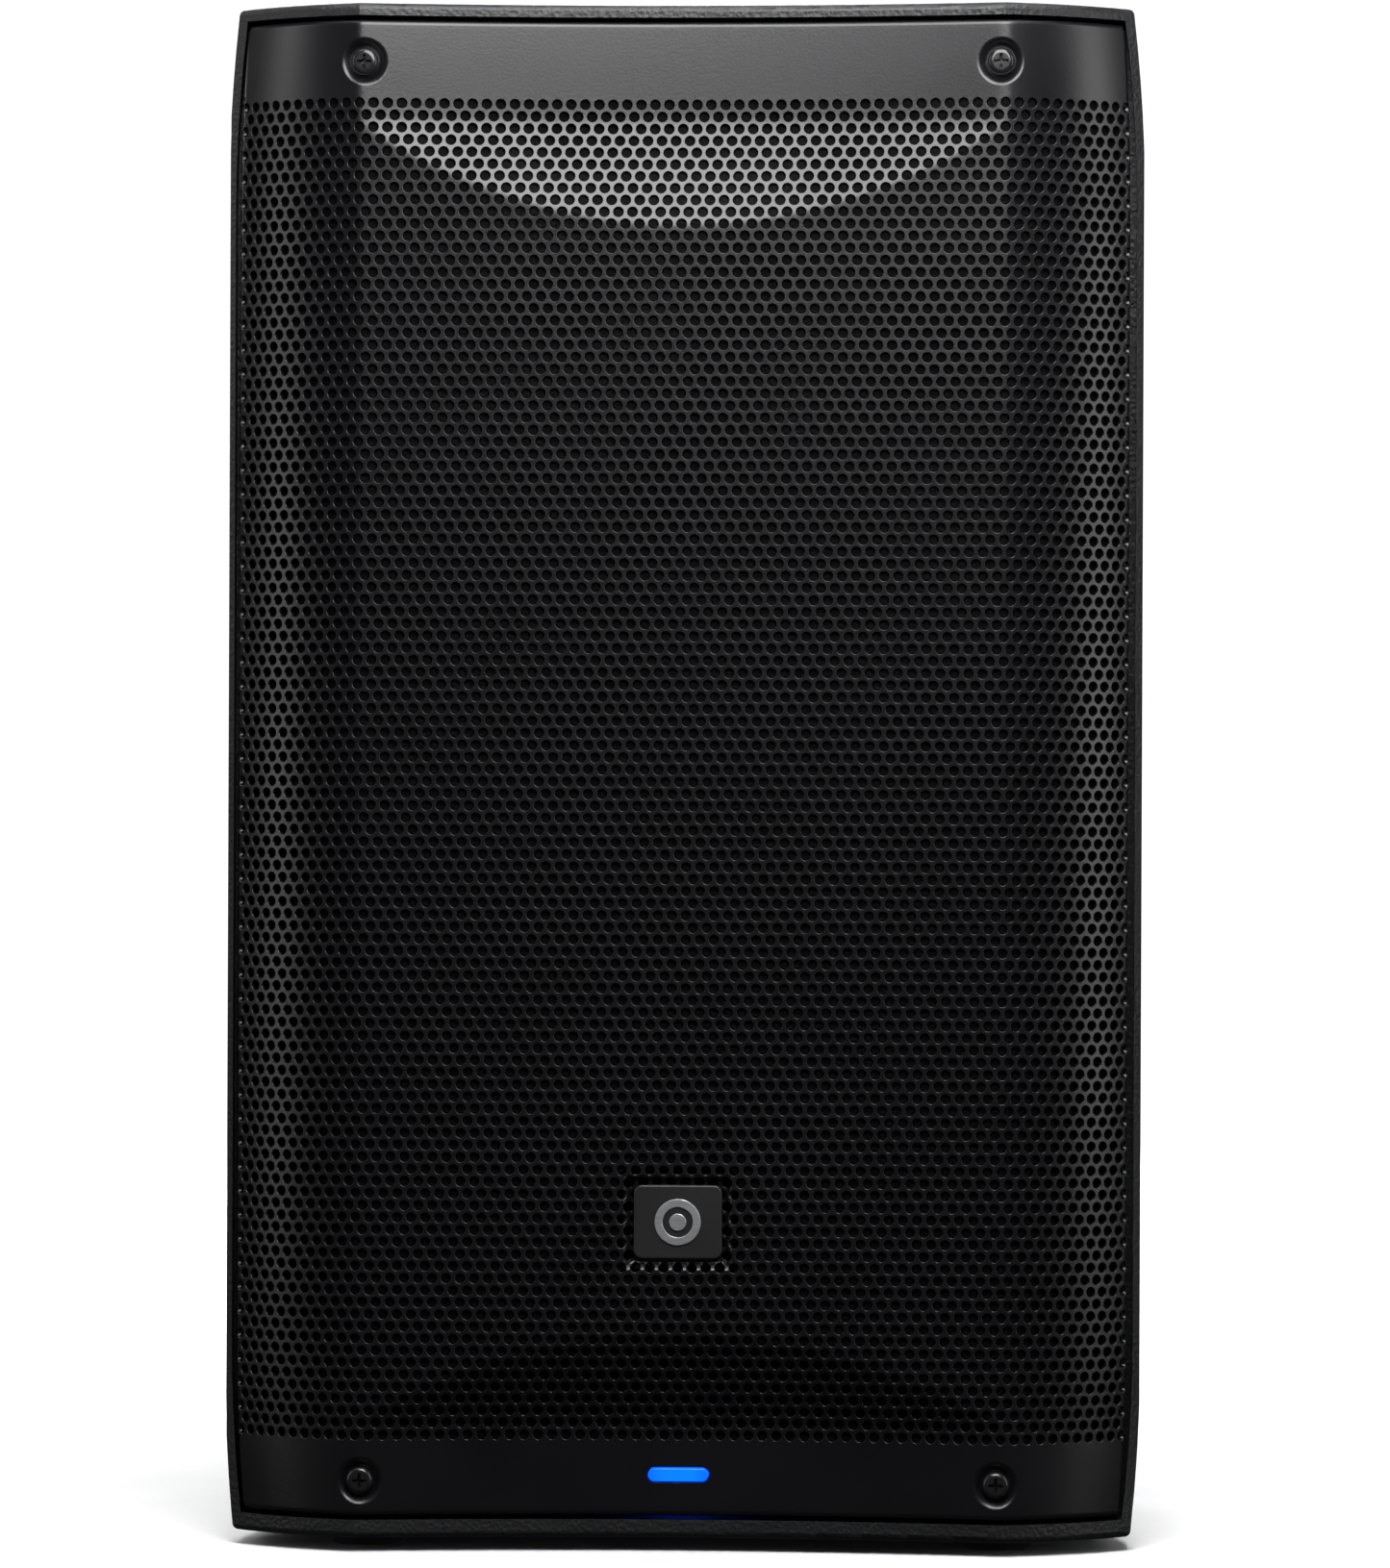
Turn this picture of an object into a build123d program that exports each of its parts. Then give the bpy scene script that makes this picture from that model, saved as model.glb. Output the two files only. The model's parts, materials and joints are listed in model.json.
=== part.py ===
from build123d import *
from math import cos, pi, radians, sin, sqrt
import os

os.makedirs("parts", exist_ok=True)

# Driving dimensions, in mm. Front faces -Y, floor at Z 0, origin under the middle of the cabinet.
width = 330.0
height = 552.0
front_y = -150.0
back_y = 150.0
foot_height = 5.0
wall = 5.0
side_slope = 0.1754
side_start_y = -118.0
back_half = width / 2 - side_slope * (back_y - side_start_y)

# Front form: a flat middle between two ridges, hollow bands above and below, curved wings outside.
ridge_x = 115.0
band_depth = 11.0
band_radius = (ridge_x**2 + band_depth**2) / (2 * band_depth)
band_centre_y = front_y + band_depth - band_radius
upper_fold = 508.8
upper_lens = 35.7
lower_fold = 46.8
lower_lens = 31.5
wing_radius = 101.6
wing_cx = ridge_x - wing_radius * sin(radians(15))
wing_cy = front_y + wing_radius * cos(radians(15))

# Barrel of the sides.
upper_barrel_z = 480.0
upper_drop = 4.5
lower_barrel_z = 75.0
lower_drop = 3.8

# Grille.
grille_half = 159.2
grille_low = 13.0
grille_high = 546.0
sheet = 1.2
flange = 7.0
foam = 5.0
screw_spots = [(113.3, 531.0), (-113.3, 531.0), (113.3, 25.5), (-113.3, 25.5)]
seat_y = front_y + 3.2

# Rim, baffle and parting plane.
rim_side = 3.0
tray_low = 11.4
tray_high = 547.5
baffle_y = -114.0
baffle_back = -106.0
seam_y = -96.0

# Drivers.
woofer_z = 170.0
horn_z = 430.0
port_x = 104.0
port_z = 317.0
port_r = 24.0

# Rear.
panel_y = 128.0
panel_half = 102.0
panel_low = 111.0
panel_high = 439.0
pole_y = 5.0
pole_bore_r = 18.1


def to_y(y, z=0.0, x=0.0):
    # A work plane facing the back: local X is X, local Y is -Z, the normal is +Y.
    return Plane(origin=(x, y, z), x_dir=(1, 0, 0), z_dir=(0, 1, 0))


def barrel_line(half, low, high, low_drop, high_drop):
    # Right-hand edge of the front outline, from the bottom to the top.
    span_low = lower_barrel_z - low
    span_high = high - upper_barrel_z
    lower = [(half - low_drop, low), (half - low_drop / 4, low + span_low / 2), (half, lower_barrel_z)]
    upper = [(half, upper_barrel_z), (half - high_drop / 4, high - span_high / 2), (half - high_drop, high)]
    return lower, upper


def silhouette(half, low, high, low_drop, high_drop, near, far):
    # The front outline with its slightly barrelled sides, as a prism from near to far.
    lower, upper = barrel_line(half, low, high, low_drop, high_drop)
    mirror_lower = [(-x, z) for x, z in lower]
    mirror_upper = [(-x, z) for x, z in upper]
    with BuildPart() as prism:
        with BuildSketch(Plane(origin=(0, near, 0), x_dir=(1, 0, 0), z_dir=(0, -1, 0))):
            with BuildLine():
                ThreePointArc(*lower)
                Line(lower[2], upper[0])
                ThreePointArc(*upper)
                Line(upper[2], mirror_upper[2])
                ThreePointArc(*mirror_upper)
                Line(mirror_upper[0], mirror_lower[2])
                ThreePointArc(*mirror_lower)
                Line(mirror_lower[0], lower[0])
            make_face()
        extrude(amount=near - far)
    return prism.part


def front_body(inset, half, back, low, high):
    # Everything behind the front surface, which is moved inwards by inset.
    radius = wing_radius - inset
    face_y = front_y + inset
    edge_x = wing_cx + sqrt(radius**2 - (wing_cy - face_y) ** 2)
    end_y = wing_cy - sqrt(radius**2 - (half - wing_cx) ** 2)
    middle_x = (edge_x + half) / 2
    middle_y = wing_cy - sqrt(radius**2 - (middle_x - wing_cx) ** 2)
    upper = upper_fold + 0.15 * inset
    lower = lower_fold - 0.15 * inset
    with BuildPart() as body:
        with BuildSketch(Plane.XY.offset(low)):
            with BuildLine():
                Line((-edge_x, face_y), (edge_x, face_y))
                ThreePointArc((edge_x, face_y), (middle_x, middle_y), (half, end_y))
                Line((half, end_y), (half, back))
                Line((half, back), (-half, back))
                Line((-half, back), (-half, end_y))
                ThreePointArc((-half, end_y), (-middle_x, middle_y), (-edge_x, face_y))
            make_face()
        extrude(amount=high - low)
        for fold, rise, lens in ((upper, 1, upper_lens), (lower, -1, lower_lens)):
            slant = (0, -band_depth, -rise * lens)
            length = sqrt(band_depth**2 + lens**2)
            with BuildSketch(Plane.XY.offset(fold)) as segment:
                with Locations((0, band_centre_y)):
                    Circle(band_radius + inset)
                with Locations((0, front_y)):
                    Rectangle(2 * ridge_x + 40, 60, mode=Mode.INTERSECT)
            extrude(amount=rise * 80, mode=Mode.SUBTRACT)
            extrude(segment.sketch, amount=length * 1.6, dir=slant, mode=Mode.SUBTRACT)
    return body.part


def ring(y_near, y_far, r_out, r_in, z, x=0.0):
    # A ring or disc around an axis along Y.
    with BuildPart() as part:
        with BuildSketch(to_y(y_near, z, x)):
            Circle(r_out)
            if r_in:
                Circle(r_in, mode=Mode.SUBTRACT)
        extrude(amount=y_far - y_near)
    return part.part


def block(x_low, x_high, y_low, y_high, z_low, z_high):
    # A plain block between two corners, for adding or cutting.
    corner = Plane(origin=(x_low, y_low, z_low))
    return Solid.make_box(x_high - x_low, y_high - y_low, z_high - z_low, corner)


def turned(profile, z, x=0.0):
    # A profile of (y, radius) points turned around an axis along Y.
    with BuildPart() as part:
        with BuildSketch(Plane(origin=(x, 0, z), x_dir=(0, 1, 0), z_dir=(1, 0, 0))):
            with BuildLine():
                Polyline(*profile, close=True)
            make_face()
        revolve(axis=Axis((x, 0, z), (0, 1, 0)))
    return part.part


def dome(rim_y, rim_r, top_y, thick):
    # Profile points of a thin dome whose crown is at top_y, for turning.
    turns = [pi / 20 * n for n in range(11)]
    outer = [(rim_y + (top_y - rim_y) * cos(t), rim_r * sin(t)) for t in turns]
    inner = [(y - thick, r * (1 - abs(thick) / rim_r)) for y, r in reversed(outer)]
    return outer + inner


def pan_screw(spots, facing, head_r, head_h, shank_r, length, cross):
    # Pan-head screws with a cross recess, their seats at the given points.
    with BuildPart() as screw:
        Cylinder(head_r, head_h, align=(Align.CENTER, Align.CENTER, Align.MIN))
        fillet(edges().group_by(Axis.Z)[-1], radius=head_h * 0.62)
        with BuildSketch(Plane.XY.offset(head_h)):
            Rectangle(cross, cross * 0.2)
            Rectangle(cross * 0.2, cross)
            Circle(cross * 0.2)
        extrude(amount=-head_h * 0.6, taper=12, mode=Mode.SUBTRACT)
        Cylinder(shank_r, length, align=(Align.CENTER, Align.CENTER, Align.MAX))
    copies = [Plane(origin=spot, z_dir=facing).location * screw.part.solid() for spot in spots]
    return Compound(children=copies)


def save(part, name):
    part.label = name
    export_step(part, f"parts/{name}.step")


# Shell outer form, before it is split along the parting plane.
print("shell")
with BuildPart() as shell_form:
    add(front_body(0, 164.0, -100, foot_height, height))
    with BuildSketch(Plane.XY.offset(foot_height)):
        with BuildLine():
            Polyline(
                (-width / 2, side_start_y),
                (width / 2, side_start_y),
                (back_half, back_y),
                (-back_half, back_y),
                close=True,
            )
        make_face()
        fillet(vertices().group_by(Axis.Y)[-1], radius=14)
        fillet(vertices().group_by(Axis.Y)[0], radius=2)
    extrude(amount=height - foot_height)
    add(
        silhouette(width / 2, foot_height, height, lower_drop, upper_drop, -160, 160),
        mode=Mode.INTERSECT,
    )
    fillet(faces().sort_by(Axis.Z)[-1].outer_wire().edges(), radius=2.4)
    fillet(faces().sort_by(Axis.Z)[0].outer_wire().edges(), radius=2.4)

# Space in front of the baffle, and the hollow behind it.
tray = front_body(-4, 171, baffle_y, tray_low, tray_high) & silhouette(
    width / 2 - rim_side, tray_low, tray_high, lower_drop, upper_drop, -170, 0
)
inner_half = width / 2 - wall * 1.015
inner_front = inner_half - side_slope * (baffle_back - side_start_y)
inner_back = inner_half - side_slope * (back_y - wall - side_start_y)
with BuildPart() as hollow:
    with BuildSketch(Plane.XY.offset(foot_height + wall)):
        with BuildLine():
            Polyline(
                (-inner_front, baffle_back),
                (inner_front, baffle_back),
                (inner_back, back_y - wall),
                (-inner_back, back_y - wall),
                close=True,
            )
        make_face()
    extrude(amount=height - foot_height - 2 * wall)
    add(
        silhouette(width / 2 - wall, foot_height, height, lower_drop, upper_drop, -160, 160),
        mode=Mode.INTERSECT,
    )

# Screws that hold the baffle to the rear shell, around its edge.
baffle_spots = [(s * 146, z) for s in (1, -1) for z in (34, 250, 385, 505)]
baffle_spots += [(s * 62, z) for s in (1, -1) for z in (24, 533)]

# Screws around the horn's flange, from its centre.
horn_holes = [(s * x, z) for s in (1, -1) for x, z in ((118, 74), (118, -74), (40, 76), (40, -76))]

# Front shell: rim, baffle plate, grille posts and screw bosses.
print("front shell")
with BuildPart() as front_shell:
    add(shell_form.part & block(-170, 170, -160, seam_y - 1, 0, 560))
    add(tray, mode=Mode.SUBTRACT)
    add(hollow.part, mode=Mode.SUBTRACT)
    with BuildSketch(to_y(baffle_back)):
        with Locations(*[(x, -z) for x, z in baffle_spots]):
            Circle(6)
    extrude(amount=seam_y - 1 - baffle_back)
    with BuildSketch(to_y(baffle_y)):
        with Locations(*[(x, -z) for x, z in screw_spots]):
            Circle(7)
    extrude(amount=seat_y + sheet - baffle_y)
    with BuildSketch(to_y(baffle_y - 1)):
        with Locations((0, -woofer_z)):
            Circle(117.5)
        with Locations((0, -horn_z)):
            RectangleRounded(234, 140, 22)
        with Locations((port_x, -port_z), (-port_x, -port_z)):
            Circle(port_r + 3)
        with Locations((0, -27.5)):
            SlotOverall(19, 4.4)
    extrude(amount=12, mode=Mode.SUBTRACT)
    with BuildSketch(to_y(-119.0)):
        with Locations(*[(x, -z) for x, z in baffle_spots]):
            Circle(2.1)
    extrude(amount=30, mode=Mode.SUBTRACT)
    with BuildSketch(to_y(-150.0)):
        with Locations(*[(x, -z) for x, z in screw_spots]):
            Circle(2.5)
    extrude(amount=26, mode=Mode.SUBTRACT)
    with BuildSketch(to_y(baffle_y)):
        with Locations(*[(x, -z) for x, z in [(0, woofer_z)]]):
            with PolarLocations(124, 8, start_angle=22.5):
                Circle(2.1)
        with Locations(*[(x, -horn_z - z) for x, z in horn_holes]):
            Circle(1.8)
    extrude(amount=7, mode=Mode.SUBTRACT)
    with BuildSketch(Plane.XY.offset(foot_height - 1)):
        with Locations((113, -112), (-113, -112)):
            Circle(13.5)
    extrude(amount=2, mode=Mode.SUBTRACT)
save(front_shell.part, "front_shell")

# Rear shell: tapered tub with a panel recess, a handle recess, a pole socket hole and screw bosses.
print("rear shell")
handle_y = 15.0
handle_floor = 505.0
with BuildPart() as rear_shell:
    add(shell_form.part & block(-170, 170, seam_y + 1, 160, 0, 560))
    add(hollow.part, mode=Mode.SUBTRACT)
    # Panel recess.
    add(block(-panel_half - 6, panel_half + 6, 115, back_y - 2, panel_low - 6, panel_high + 6))
    add(
        block(-panel_half - 1, panel_half + 1, panel_y - 2, back_y + 2, panel_low - 1, panel_high + 1),
        mode=Mode.SUBTRACT,
    )
    add(
        block(-panel_half + 8, panel_half - 8, 110, panel_y, panel_low + 8, panel_high - 8),
        mode=Mode.SUBTRACT,
    )
    # Handle recess with a ledge at each end.
    add(block(-86, 86, handle_y - 36, handle_y + 36, handle_floor - 5, height - 2))
    add(block(-80, 80, handle_y - 30, handle_y + 30, handle_floor, height + 2), mode=Mode.SUBTRACT)
    add(block(64, 81, handle_y - 20, handle_y + 20, handle_floor - 1, 535))
    add(block(-81, -64, handle_y - 20, handle_y + 20, handle_floor - 1, 535))
    # Screw bosses.
    for x, z in baffle_spots:
        if abs(x) > 100:
            side = 1 if x > 0 else -1
            x_low, x_high = sorted((side * 140, side * 156))
            add(block(x_low, x_high, seam_y + 1, -74, z - 7, z + 7))
        else:
            z_end = 8 if z < 100 else 549
            add(block(x - 7, x + 7, seam_y + 1, -74, min(z - 7, z_end), max(z + 7, z_end)))
    with BuildSketch(to_y(seam_y)):
        with Locations(*[(x, -z) for x, z in baffle_spots]):
            Circle(1.8)
    extrude(amount=18, mode=Mode.SUBTRACT)
    # Pole socket hole, rigging insert bosses and feet seats.
    with BuildSketch(Plane.XY.offset(foot_height - 1)):
        with Locations((0, pole_y)):
            Circle(23)
    extrude(amount=8, mode=Mode.SUBTRACT)
    with BuildSketch(Plane.XY.offset(foot_height - 1)):
        with Locations((0, pole_y)):
            Circle(36)
    extrude(amount=3, mode=Mode.SUBTRACT)
    with BuildSketch(Plane.XY.offset(height - 24)):
        with Locations((115, handle_y), (-115, handle_y)):
            Circle(12)
    extrude(amount=20)
    with BuildSketch(Plane.XY.offset(foot_height + 4)):
        with Locations((0, 105)):
            Circle(12)
    extrude(amount=20)
    with BuildSketch(Plane.XY.offset(height - 18)):
        with Locations((115, handle_y), (-115, handle_y)):
            Circle(8)
    extrude(amount=20, mode=Mode.SUBTRACT)
    with BuildSketch(Plane.XY.offset(foot_height - 2)):
        with Locations((0, 105)):
            Circle(8)
    extrude(amount=20, mode=Mode.SUBTRACT)
    with BuildSketch(Plane.XY.offset(foot_height - 1)):
        with Locations((87, 118), (-87, 118)):
            Circle(13.5)
    extrude(amount=2, mode=Mode.SUBTRACT)
    # Bolt holes of the handle and the panel.
    with BuildSketch(Plane.XY.offset(515)):
        with Locations(*[(sx * 72, handle_y + sy * 9) for sx in (1, -1) for sy in (1, -1)]):
            Circle(2.5)
    extrude(amount=25, mode=Mode.SUBTRACT)
    with BuildSketch(to_y(110)):
        with Locations(*[(x, -z) for x in (97, -97) for z in (118, 197, 275, 353, 432)]):
            Circle(1.8)
    extrude(amount=20, mode=Mode.SUBTRACT)
save(rear_shell.part, "rear_shell")

# Grille: a thin sheet with a turned-back edge, screw dimples and a pressed seat for the badge.
print("grille")
badge_z = 118.3
window_z = 27.5


def grille_form(inset, trim):
    # The solid behind the sheet's face, moved in by inset and trimmed at its edges.
    form = front_body(inset, 163, -100, grille_low + trim, grille_high - trim)
    low, high = grille_low + trim, grille_high - trim
    return form & silhouette(grille_half - trim, low, high, 2.2, 2.2, -160, 0)


grille_outer = grille_form(0, 0)
with BuildPart() as dimples:
    for x, z in screw_spots:
        add(Solid.make_cone(8.4, 6.4, 3.2 + sheet, to_y(front_y, z, x)))
    with BuildSketch(to_y(front_y, badge_z)):
        RectangleRounded(41.4, 36.4, 4)
    extrude(amount=4.2, taper=45)
    add(grille_outer, mode=Mode.INTERSECT)
with BuildPart() as grille:
    add(grille_outer)
    add(grille_form(sheet, sheet), mode=Mode.SUBTRACT)
    add(front_body(flange, 163, -90, grille_low - 1, grille_high + 1), mode=Mode.SUBTRACT)
    add(dimples.part)
    for x, z in screw_spots:
        add(Solid.make_cone(7.2, 5.2, 3.2, to_y(front_y, z, x)), mode=Mode.SUBTRACT)
    with BuildSketch(to_y(front_y, badge_z)):
        RectangleRounded(39, 34, 3)
    extrude(amount=3.0, taper=45, mode=Mode.SUBTRACT)
    with BuildSketch(to_y(front_y)):
        with Locations(*[(x, -z) for x, z in screw_spots]):
            Circle(2.7)
        with Locations((0, -window_z)):
            SlotOverall(22.3, 5.4)
    extrude(amount=20, mode=Mode.SUBTRACT)
save(grille.part, "grille")

with BuildPart() as grille_foam:
    add(grille_form(sheet + 0.1, sheet + 0.5))
    add(front_body(sheet + foam, 163, -90, grille_low - 1, grille_high + 1), mode=Mode.SUBTRACT)
    with BuildSketch(to_y(front_y)):
        with Locations(*[(x, -z) for x, z in screw_spots]):
            Circle(9)
        with Locations((0, -window_z)):
            SlotOverall(24, 7)
        with Locations((0, -badge_z)):
            RectangleRounded(42.4, 37.4, 4)
    extrude(amount=30, mode=Mode.SUBTRACT)
save(grille_foam.part, "grille_foam")

front = (0, -1, 0)
rear = (0, 1, 0)
grille_screws = pan_screw([(x, seat_y, z) for x, z in screw_spots], front, 4.85, 3.0, 2.4, 20, 5.2)
save(grille_screws, "grille_screws")
baffle_screws = pan_screw([(x, baffle_y, z) for x, z in baffle_spots], front, 4.0, 2.6, 1.7, 30, 4.4)
save(baffle_screws, "baffle_screws")

# Badge plate with a plain raised sign: a ring around a disc.
print("badge and status light")
with BuildPart() as badge_plate:
    with BuildSketch(to_y(front_y + 3.0, badge_z)):
        RectangleRounded(31.5, 26.4, 3)
    extrude(amount=-2.0)
    fillet(faces().sort_by(Axis.Y)[0].edges(), radius=0.8)
save(badge_plate.part, "badge_plate")

with BuildPart() as badge_emblem:
    with BuildSketch(to_y(front_y + 1.0, badge_z)):
        Circle(8.2)
        Circle(5.4, mode=Mode.SUBTRACT)
        Circle(3.0)
    extrude(amount=-0.5)
    fillet(faces().group_by(Axis.Y)[0].edges(), radius=0.15)
save(badge_emblem.part, "badge_emblem")

with BuildPart() as status_window:
    with BuildSketch(to_y(-139.5, window_z)):
        SlotOverall(21.5, 4.6)
    extrude(amount=8.5)
    with BuildSketch(to_y(-131.0, window_z)):
        SlotOverall(18.4, 4.0)
    extrude(amount=25.0)
    fillet(faces().sort_by(Axis.Y)[0].edges(), radius=0.4)
save(status_window.part, "status_window")

with BuildPart() as status_board:
    add(block(-16, 16, baffle_back, baffle_back + 1.6, 19, 36))
    add(block(-9, 9, baffle_back + 1.6, baffle_back + 5, 24, 31))
save(status_board.part, "status_board")

# Woofer, from the front gasket to the yoke.
print("woofer")
with BuildPart() as woofer_basket:
    add(
        turned(
            [
                (-120, 109),
                (-120, 131),
                (-114, 131),
                (-114, 117),
                (-60, 81),
                (-47, 78),
                (-47, 30),
                (-50, 30),
                (-50, 66),
                (-57, 66),
                (-57, 76),
                (-112, 112.5),
                (-112, 109),
            ],
            woofer_z,
        )
    )
    for turn in range(6):
        add(
            Pos(0, 0, woofer_z) * Rot(0, 60 * turn, 0) * block(64, 130, -103, -64, -30, 30),
            mode=Mode.SUBTRACT,
        )
    with BuildSketch(to_y(-121, woofer_z)):
        with PolarLocations(124, 8, start_angle=22.5):
            Circle(2.4)
    extrude(amount=10, mode=Mode.SUBTRACT)
save(woofer_basket.part, "woofer_basket")

save(ring(-124, -121, 118.5, 110.5, woofer_z), "woofer_gasket")

with BuildPart() as woofer_surround:
    with BuildSketch(Plane(origin=(0, 0, woofer_z), x_dir=(0, 1, 0), z_dir=(1, 0, 0))):
        with BuildLine():
            Polyline((-120, 108.2), (-120, 117.5), (-121, 117.5), (-121, 109.0))
            ThreePointArc((-121, 109.0), (-128.5, 101.5), (-121, 94.0))
            Polyline((-121, 94.0), (-121, 89.5), (-120, 89.5), (-120, 94.8))
            ThreePointArc((-120, 94.8), (-127.4, 101.5), (-120, 108.2))
        make_face()
    revolve(axis=Axis((0, 0, woofer_z), (0, 1, 0)))
save(woofer_surround.part, "woofer_surround")

cone_profile = [
    (-120, 95),
    (-119, 95),
    (-119, 89.6),
    (-92, 46),
    (-74, 27.2),
    (-74, 26),
    (-75.5, 26),
    (-93, 45),
    (-120, 88.6),
]
save(turned(cone_profile, woofer_z), "woofer_cone")

save(turned(dome(-88.8, 38.0, -102.0, -1.0), woofer_z), "woofer_dust_cap")

with BuildPart() as woofer_voice_coil:
    add(ring(-75, -31, 26.0, 25.6, woofer_z))
    add(ring(-51, -35, 26.9, 25.9, woofer_z))
save(woofer_voice_coil.part, "woofer_voice_coil")

waves = [(26.0, 0.0), (31.0, 0.0)]
waves += [(35.0 + 4 * step, 1.6 * (-1) ** step) for step in range(7)]
waves += [(63.5, 0.0), (73.0, 0.0)]
spider_profile = [(-57.0 - 1.0 + rise * 0.8, r) for r, rise in waves]
spider_profile += [(-57.0 + rise * 0.8, r) for r, rise in reversed(waves)]
save(turned(spider_profile, woofer_z), "woofer_spider")

save(ring(-47, -39, 68, 27.9, woofer_z), "woofer_top_plate")
save(ring(-39, -19, 70, 36, woofer_z), "woofer_magnet")
yoke_profile = [(-48, 6), (-48, 24.9), (-19, 24.9), (-19, 68), (-11, 68), (-11, 6)]
save(turned(yoke_profile, woofer_z), "woofer_yoke")

woofer_spots = [
    (124 * cos(pi * (2 * n + 1) / 8), -120, woofer_z + 124 * sin(pi * (2 * n + 1) / 8)) for n in range(8)
]
save(pan_screw(woofer_spots, front, 4.4, 3.0, 2.0, 12, 4.8), "woofer_screws")

# Horn and compression driver.
print("horn")
horn_steps = [(-119, 226, 132, 20), (-100, 178, 104, 22), (-75, 104, 70, 20), (-52, 46, 40, 15)]
horn_steps += [(-38, 25.4, 25.4, 12.69)]


def horn_form(grow):
    with BuildPart() as form:
        for y, w, h, r in horn_steps:
            with BuildSketch(to_y(y, horn_z)):
                RectangleRounded(w + grow, h + grow, r + grow * 0.49)
        loft(ruled=True)
    return form.part


with BuildPart() as horn:
    add(horn_form(6))
    with BuildSketch(to_y(-119, horn_z)):
        RectangleRounded(250, 165, 16)
    extrude(amount=5)
    add(ring(-42, -38, 38, 0, horn_z))
    add(horn_form(0), mode=Mode.SUBTRACT)
    with BuildSketch(to_y(-120, horn_z)):
        with Locations(*horn_holes):
            Circle(2.1)
    extrude(amount=10, mode=Mode.SUBTRACT)
save(horn.part, "horn")
horn_spots = [(x, -119, horn_z + z) for x, z in horn_holes]
save(pan_screw(horn_spots, front, 3.6, 2.4, 1.7, 11, 4.0), "horn_screws")

hf_yoke_profile = [
    (-38, 12.7),
    (-38, 43),
    (-31, 43),
    (-31, 21.5),
    (-6, 21.5),
    (-6, 18.6),
    (-14, 18.6),
    (-14, 16.5),
]
save(turned(hf_yoke_profile, horn_z), "hf_yoke")
save(ring(-31, -14, 42, 27, horn_z), "hf_magnet")
save(ring(-14, -6, 42, 23.6, horn_z), "hf_top_plate")

with BuildPart() as hf_phase_plug:
    add(turned([(-14, 18.6), (-8, 18.6), (-6, 12), (-5, 6), (-4.8, 0), (-14, 0)], horn_z))
    for turn in range(8):
        add(
            Pos(0, 0, horn_z) * Rot(0, 45 * turn, 0) * block(5, 16, -15, -3, -0.7, 0.7),
            mode=Mode.SUBTRACT,
        )
save(hf_phase_plug.part, "hf_phase_plug")

with BuildPart() as hf_diaphragm:
    add(ring(-12, -4.9, 22.8, 22.2, horn_z))
    add(turned(dome(-4.8, 22.8, 0.0, 0.4), horn_z))
save(hf_diaphragm.part, "hf_diaphragm")
save(ring(-6, -5.6, 40, 22.8, horn_z), "hf_surround")
cover_profile = [
    (-5.6, 30),
    (-5.6, 43),
    (14, 43),
    (18, 39),
    (18, 0),
    (15, 0),
    (15, 36),
    (-2.6, 36),
    (-2.6, 30),
]
save(turned(cover_profile, horn_z), "hf_cover")

# Port tubes, one on each side.
print("ports")
for x, name in ((port_x, "port_tube_right"), (-port_x, "port_tube_left")):
    with BuildPart() as port_tube:
        add(ring(-116, -24, port_r + 2.5, port_r, port_z, x))
        add(ring(-116, -114, port_r + 5.5, port_r, port_z, x))
        fillet(edges().filter_by(GeomType.CIRCLE).group_by(Axis.Y)[0].sort_by(SortBy.RADIUS)[0], radius=1.5)
    save(port_tube.part, name)

# Rear panel with its sockets, knobs, buttons and rocker. Seen from behind, +X is on the left.
print("panel")
face = panel_y
combo_x = (62.0, 20.0)
knob_z = 345.0
button_z = 314.0
socket_z = 396.0
inlet_x = -66.0
inlet_z = 352.0
rocker_z = 388.0
panel_spots = [(x, face, z) for x in (97, -97) for z in (118, 197, 275, 353, 432)]
knobs = [(combo_x[0], 7.0, "gain_knob_1"), (combo_x[1], 7.0, "gain_knob_2"), (-22.0, 9.0, "main_knob")]
buttons = [(combo_x[0], "line_button_1"), (combo_x[1], "line_button_2"), (-22.0, "mode_button")]

with BuildPart() as amp_panel:
    with BuildSketch(to_y(face - 2)):
        with Locations((0, -(panel_low + panel_high) / 2)):
            RectangleRounded(2 * panel_half, panel_high - panel_low, 4)
        with Locations(*[(x, -z) for x, _, z in panel_spots]):
            Circle(2.0, mode=Mode.SUBTRACT)
        with Locations(*[(x, -socket_z) for x in (*combo_x, -22.0)]):
            Circle(12.2, mode=Mode.SUBTRACT)
        with Locations(*[(x, -socket_z - 14) for x in combo_x]):
            Rectangle(8, 4, mode=Mode.SUBTRACT)
        with Locations(*[(x, -knob_z) for x, _, _ in knobs]):
            Circle(3.7, mode=Mode.SUBTRACT)
        with Locations(*[(x, -button_z) for x, _ in buttons]):
            Circle(3.6, mode=Mode.SUBTRACT)
        with Locations((inlet_x, -370)):
            Rectangle(31, 62, mode=Mode.SUBTRACT)
    extrude(amount=2)
save(amp_panel.part, "amp_panel")

with BuildPart() as heat_sink:
    add(block(-86, 86, face, face + 4, 128, 262))
    for step in range(22):
        x = -84 + 8 * step
        add(block(x - 1, x + 1, face + 4, face + 19, 128, 262))
save(heat_sink.part, "heat_sink")

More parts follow.
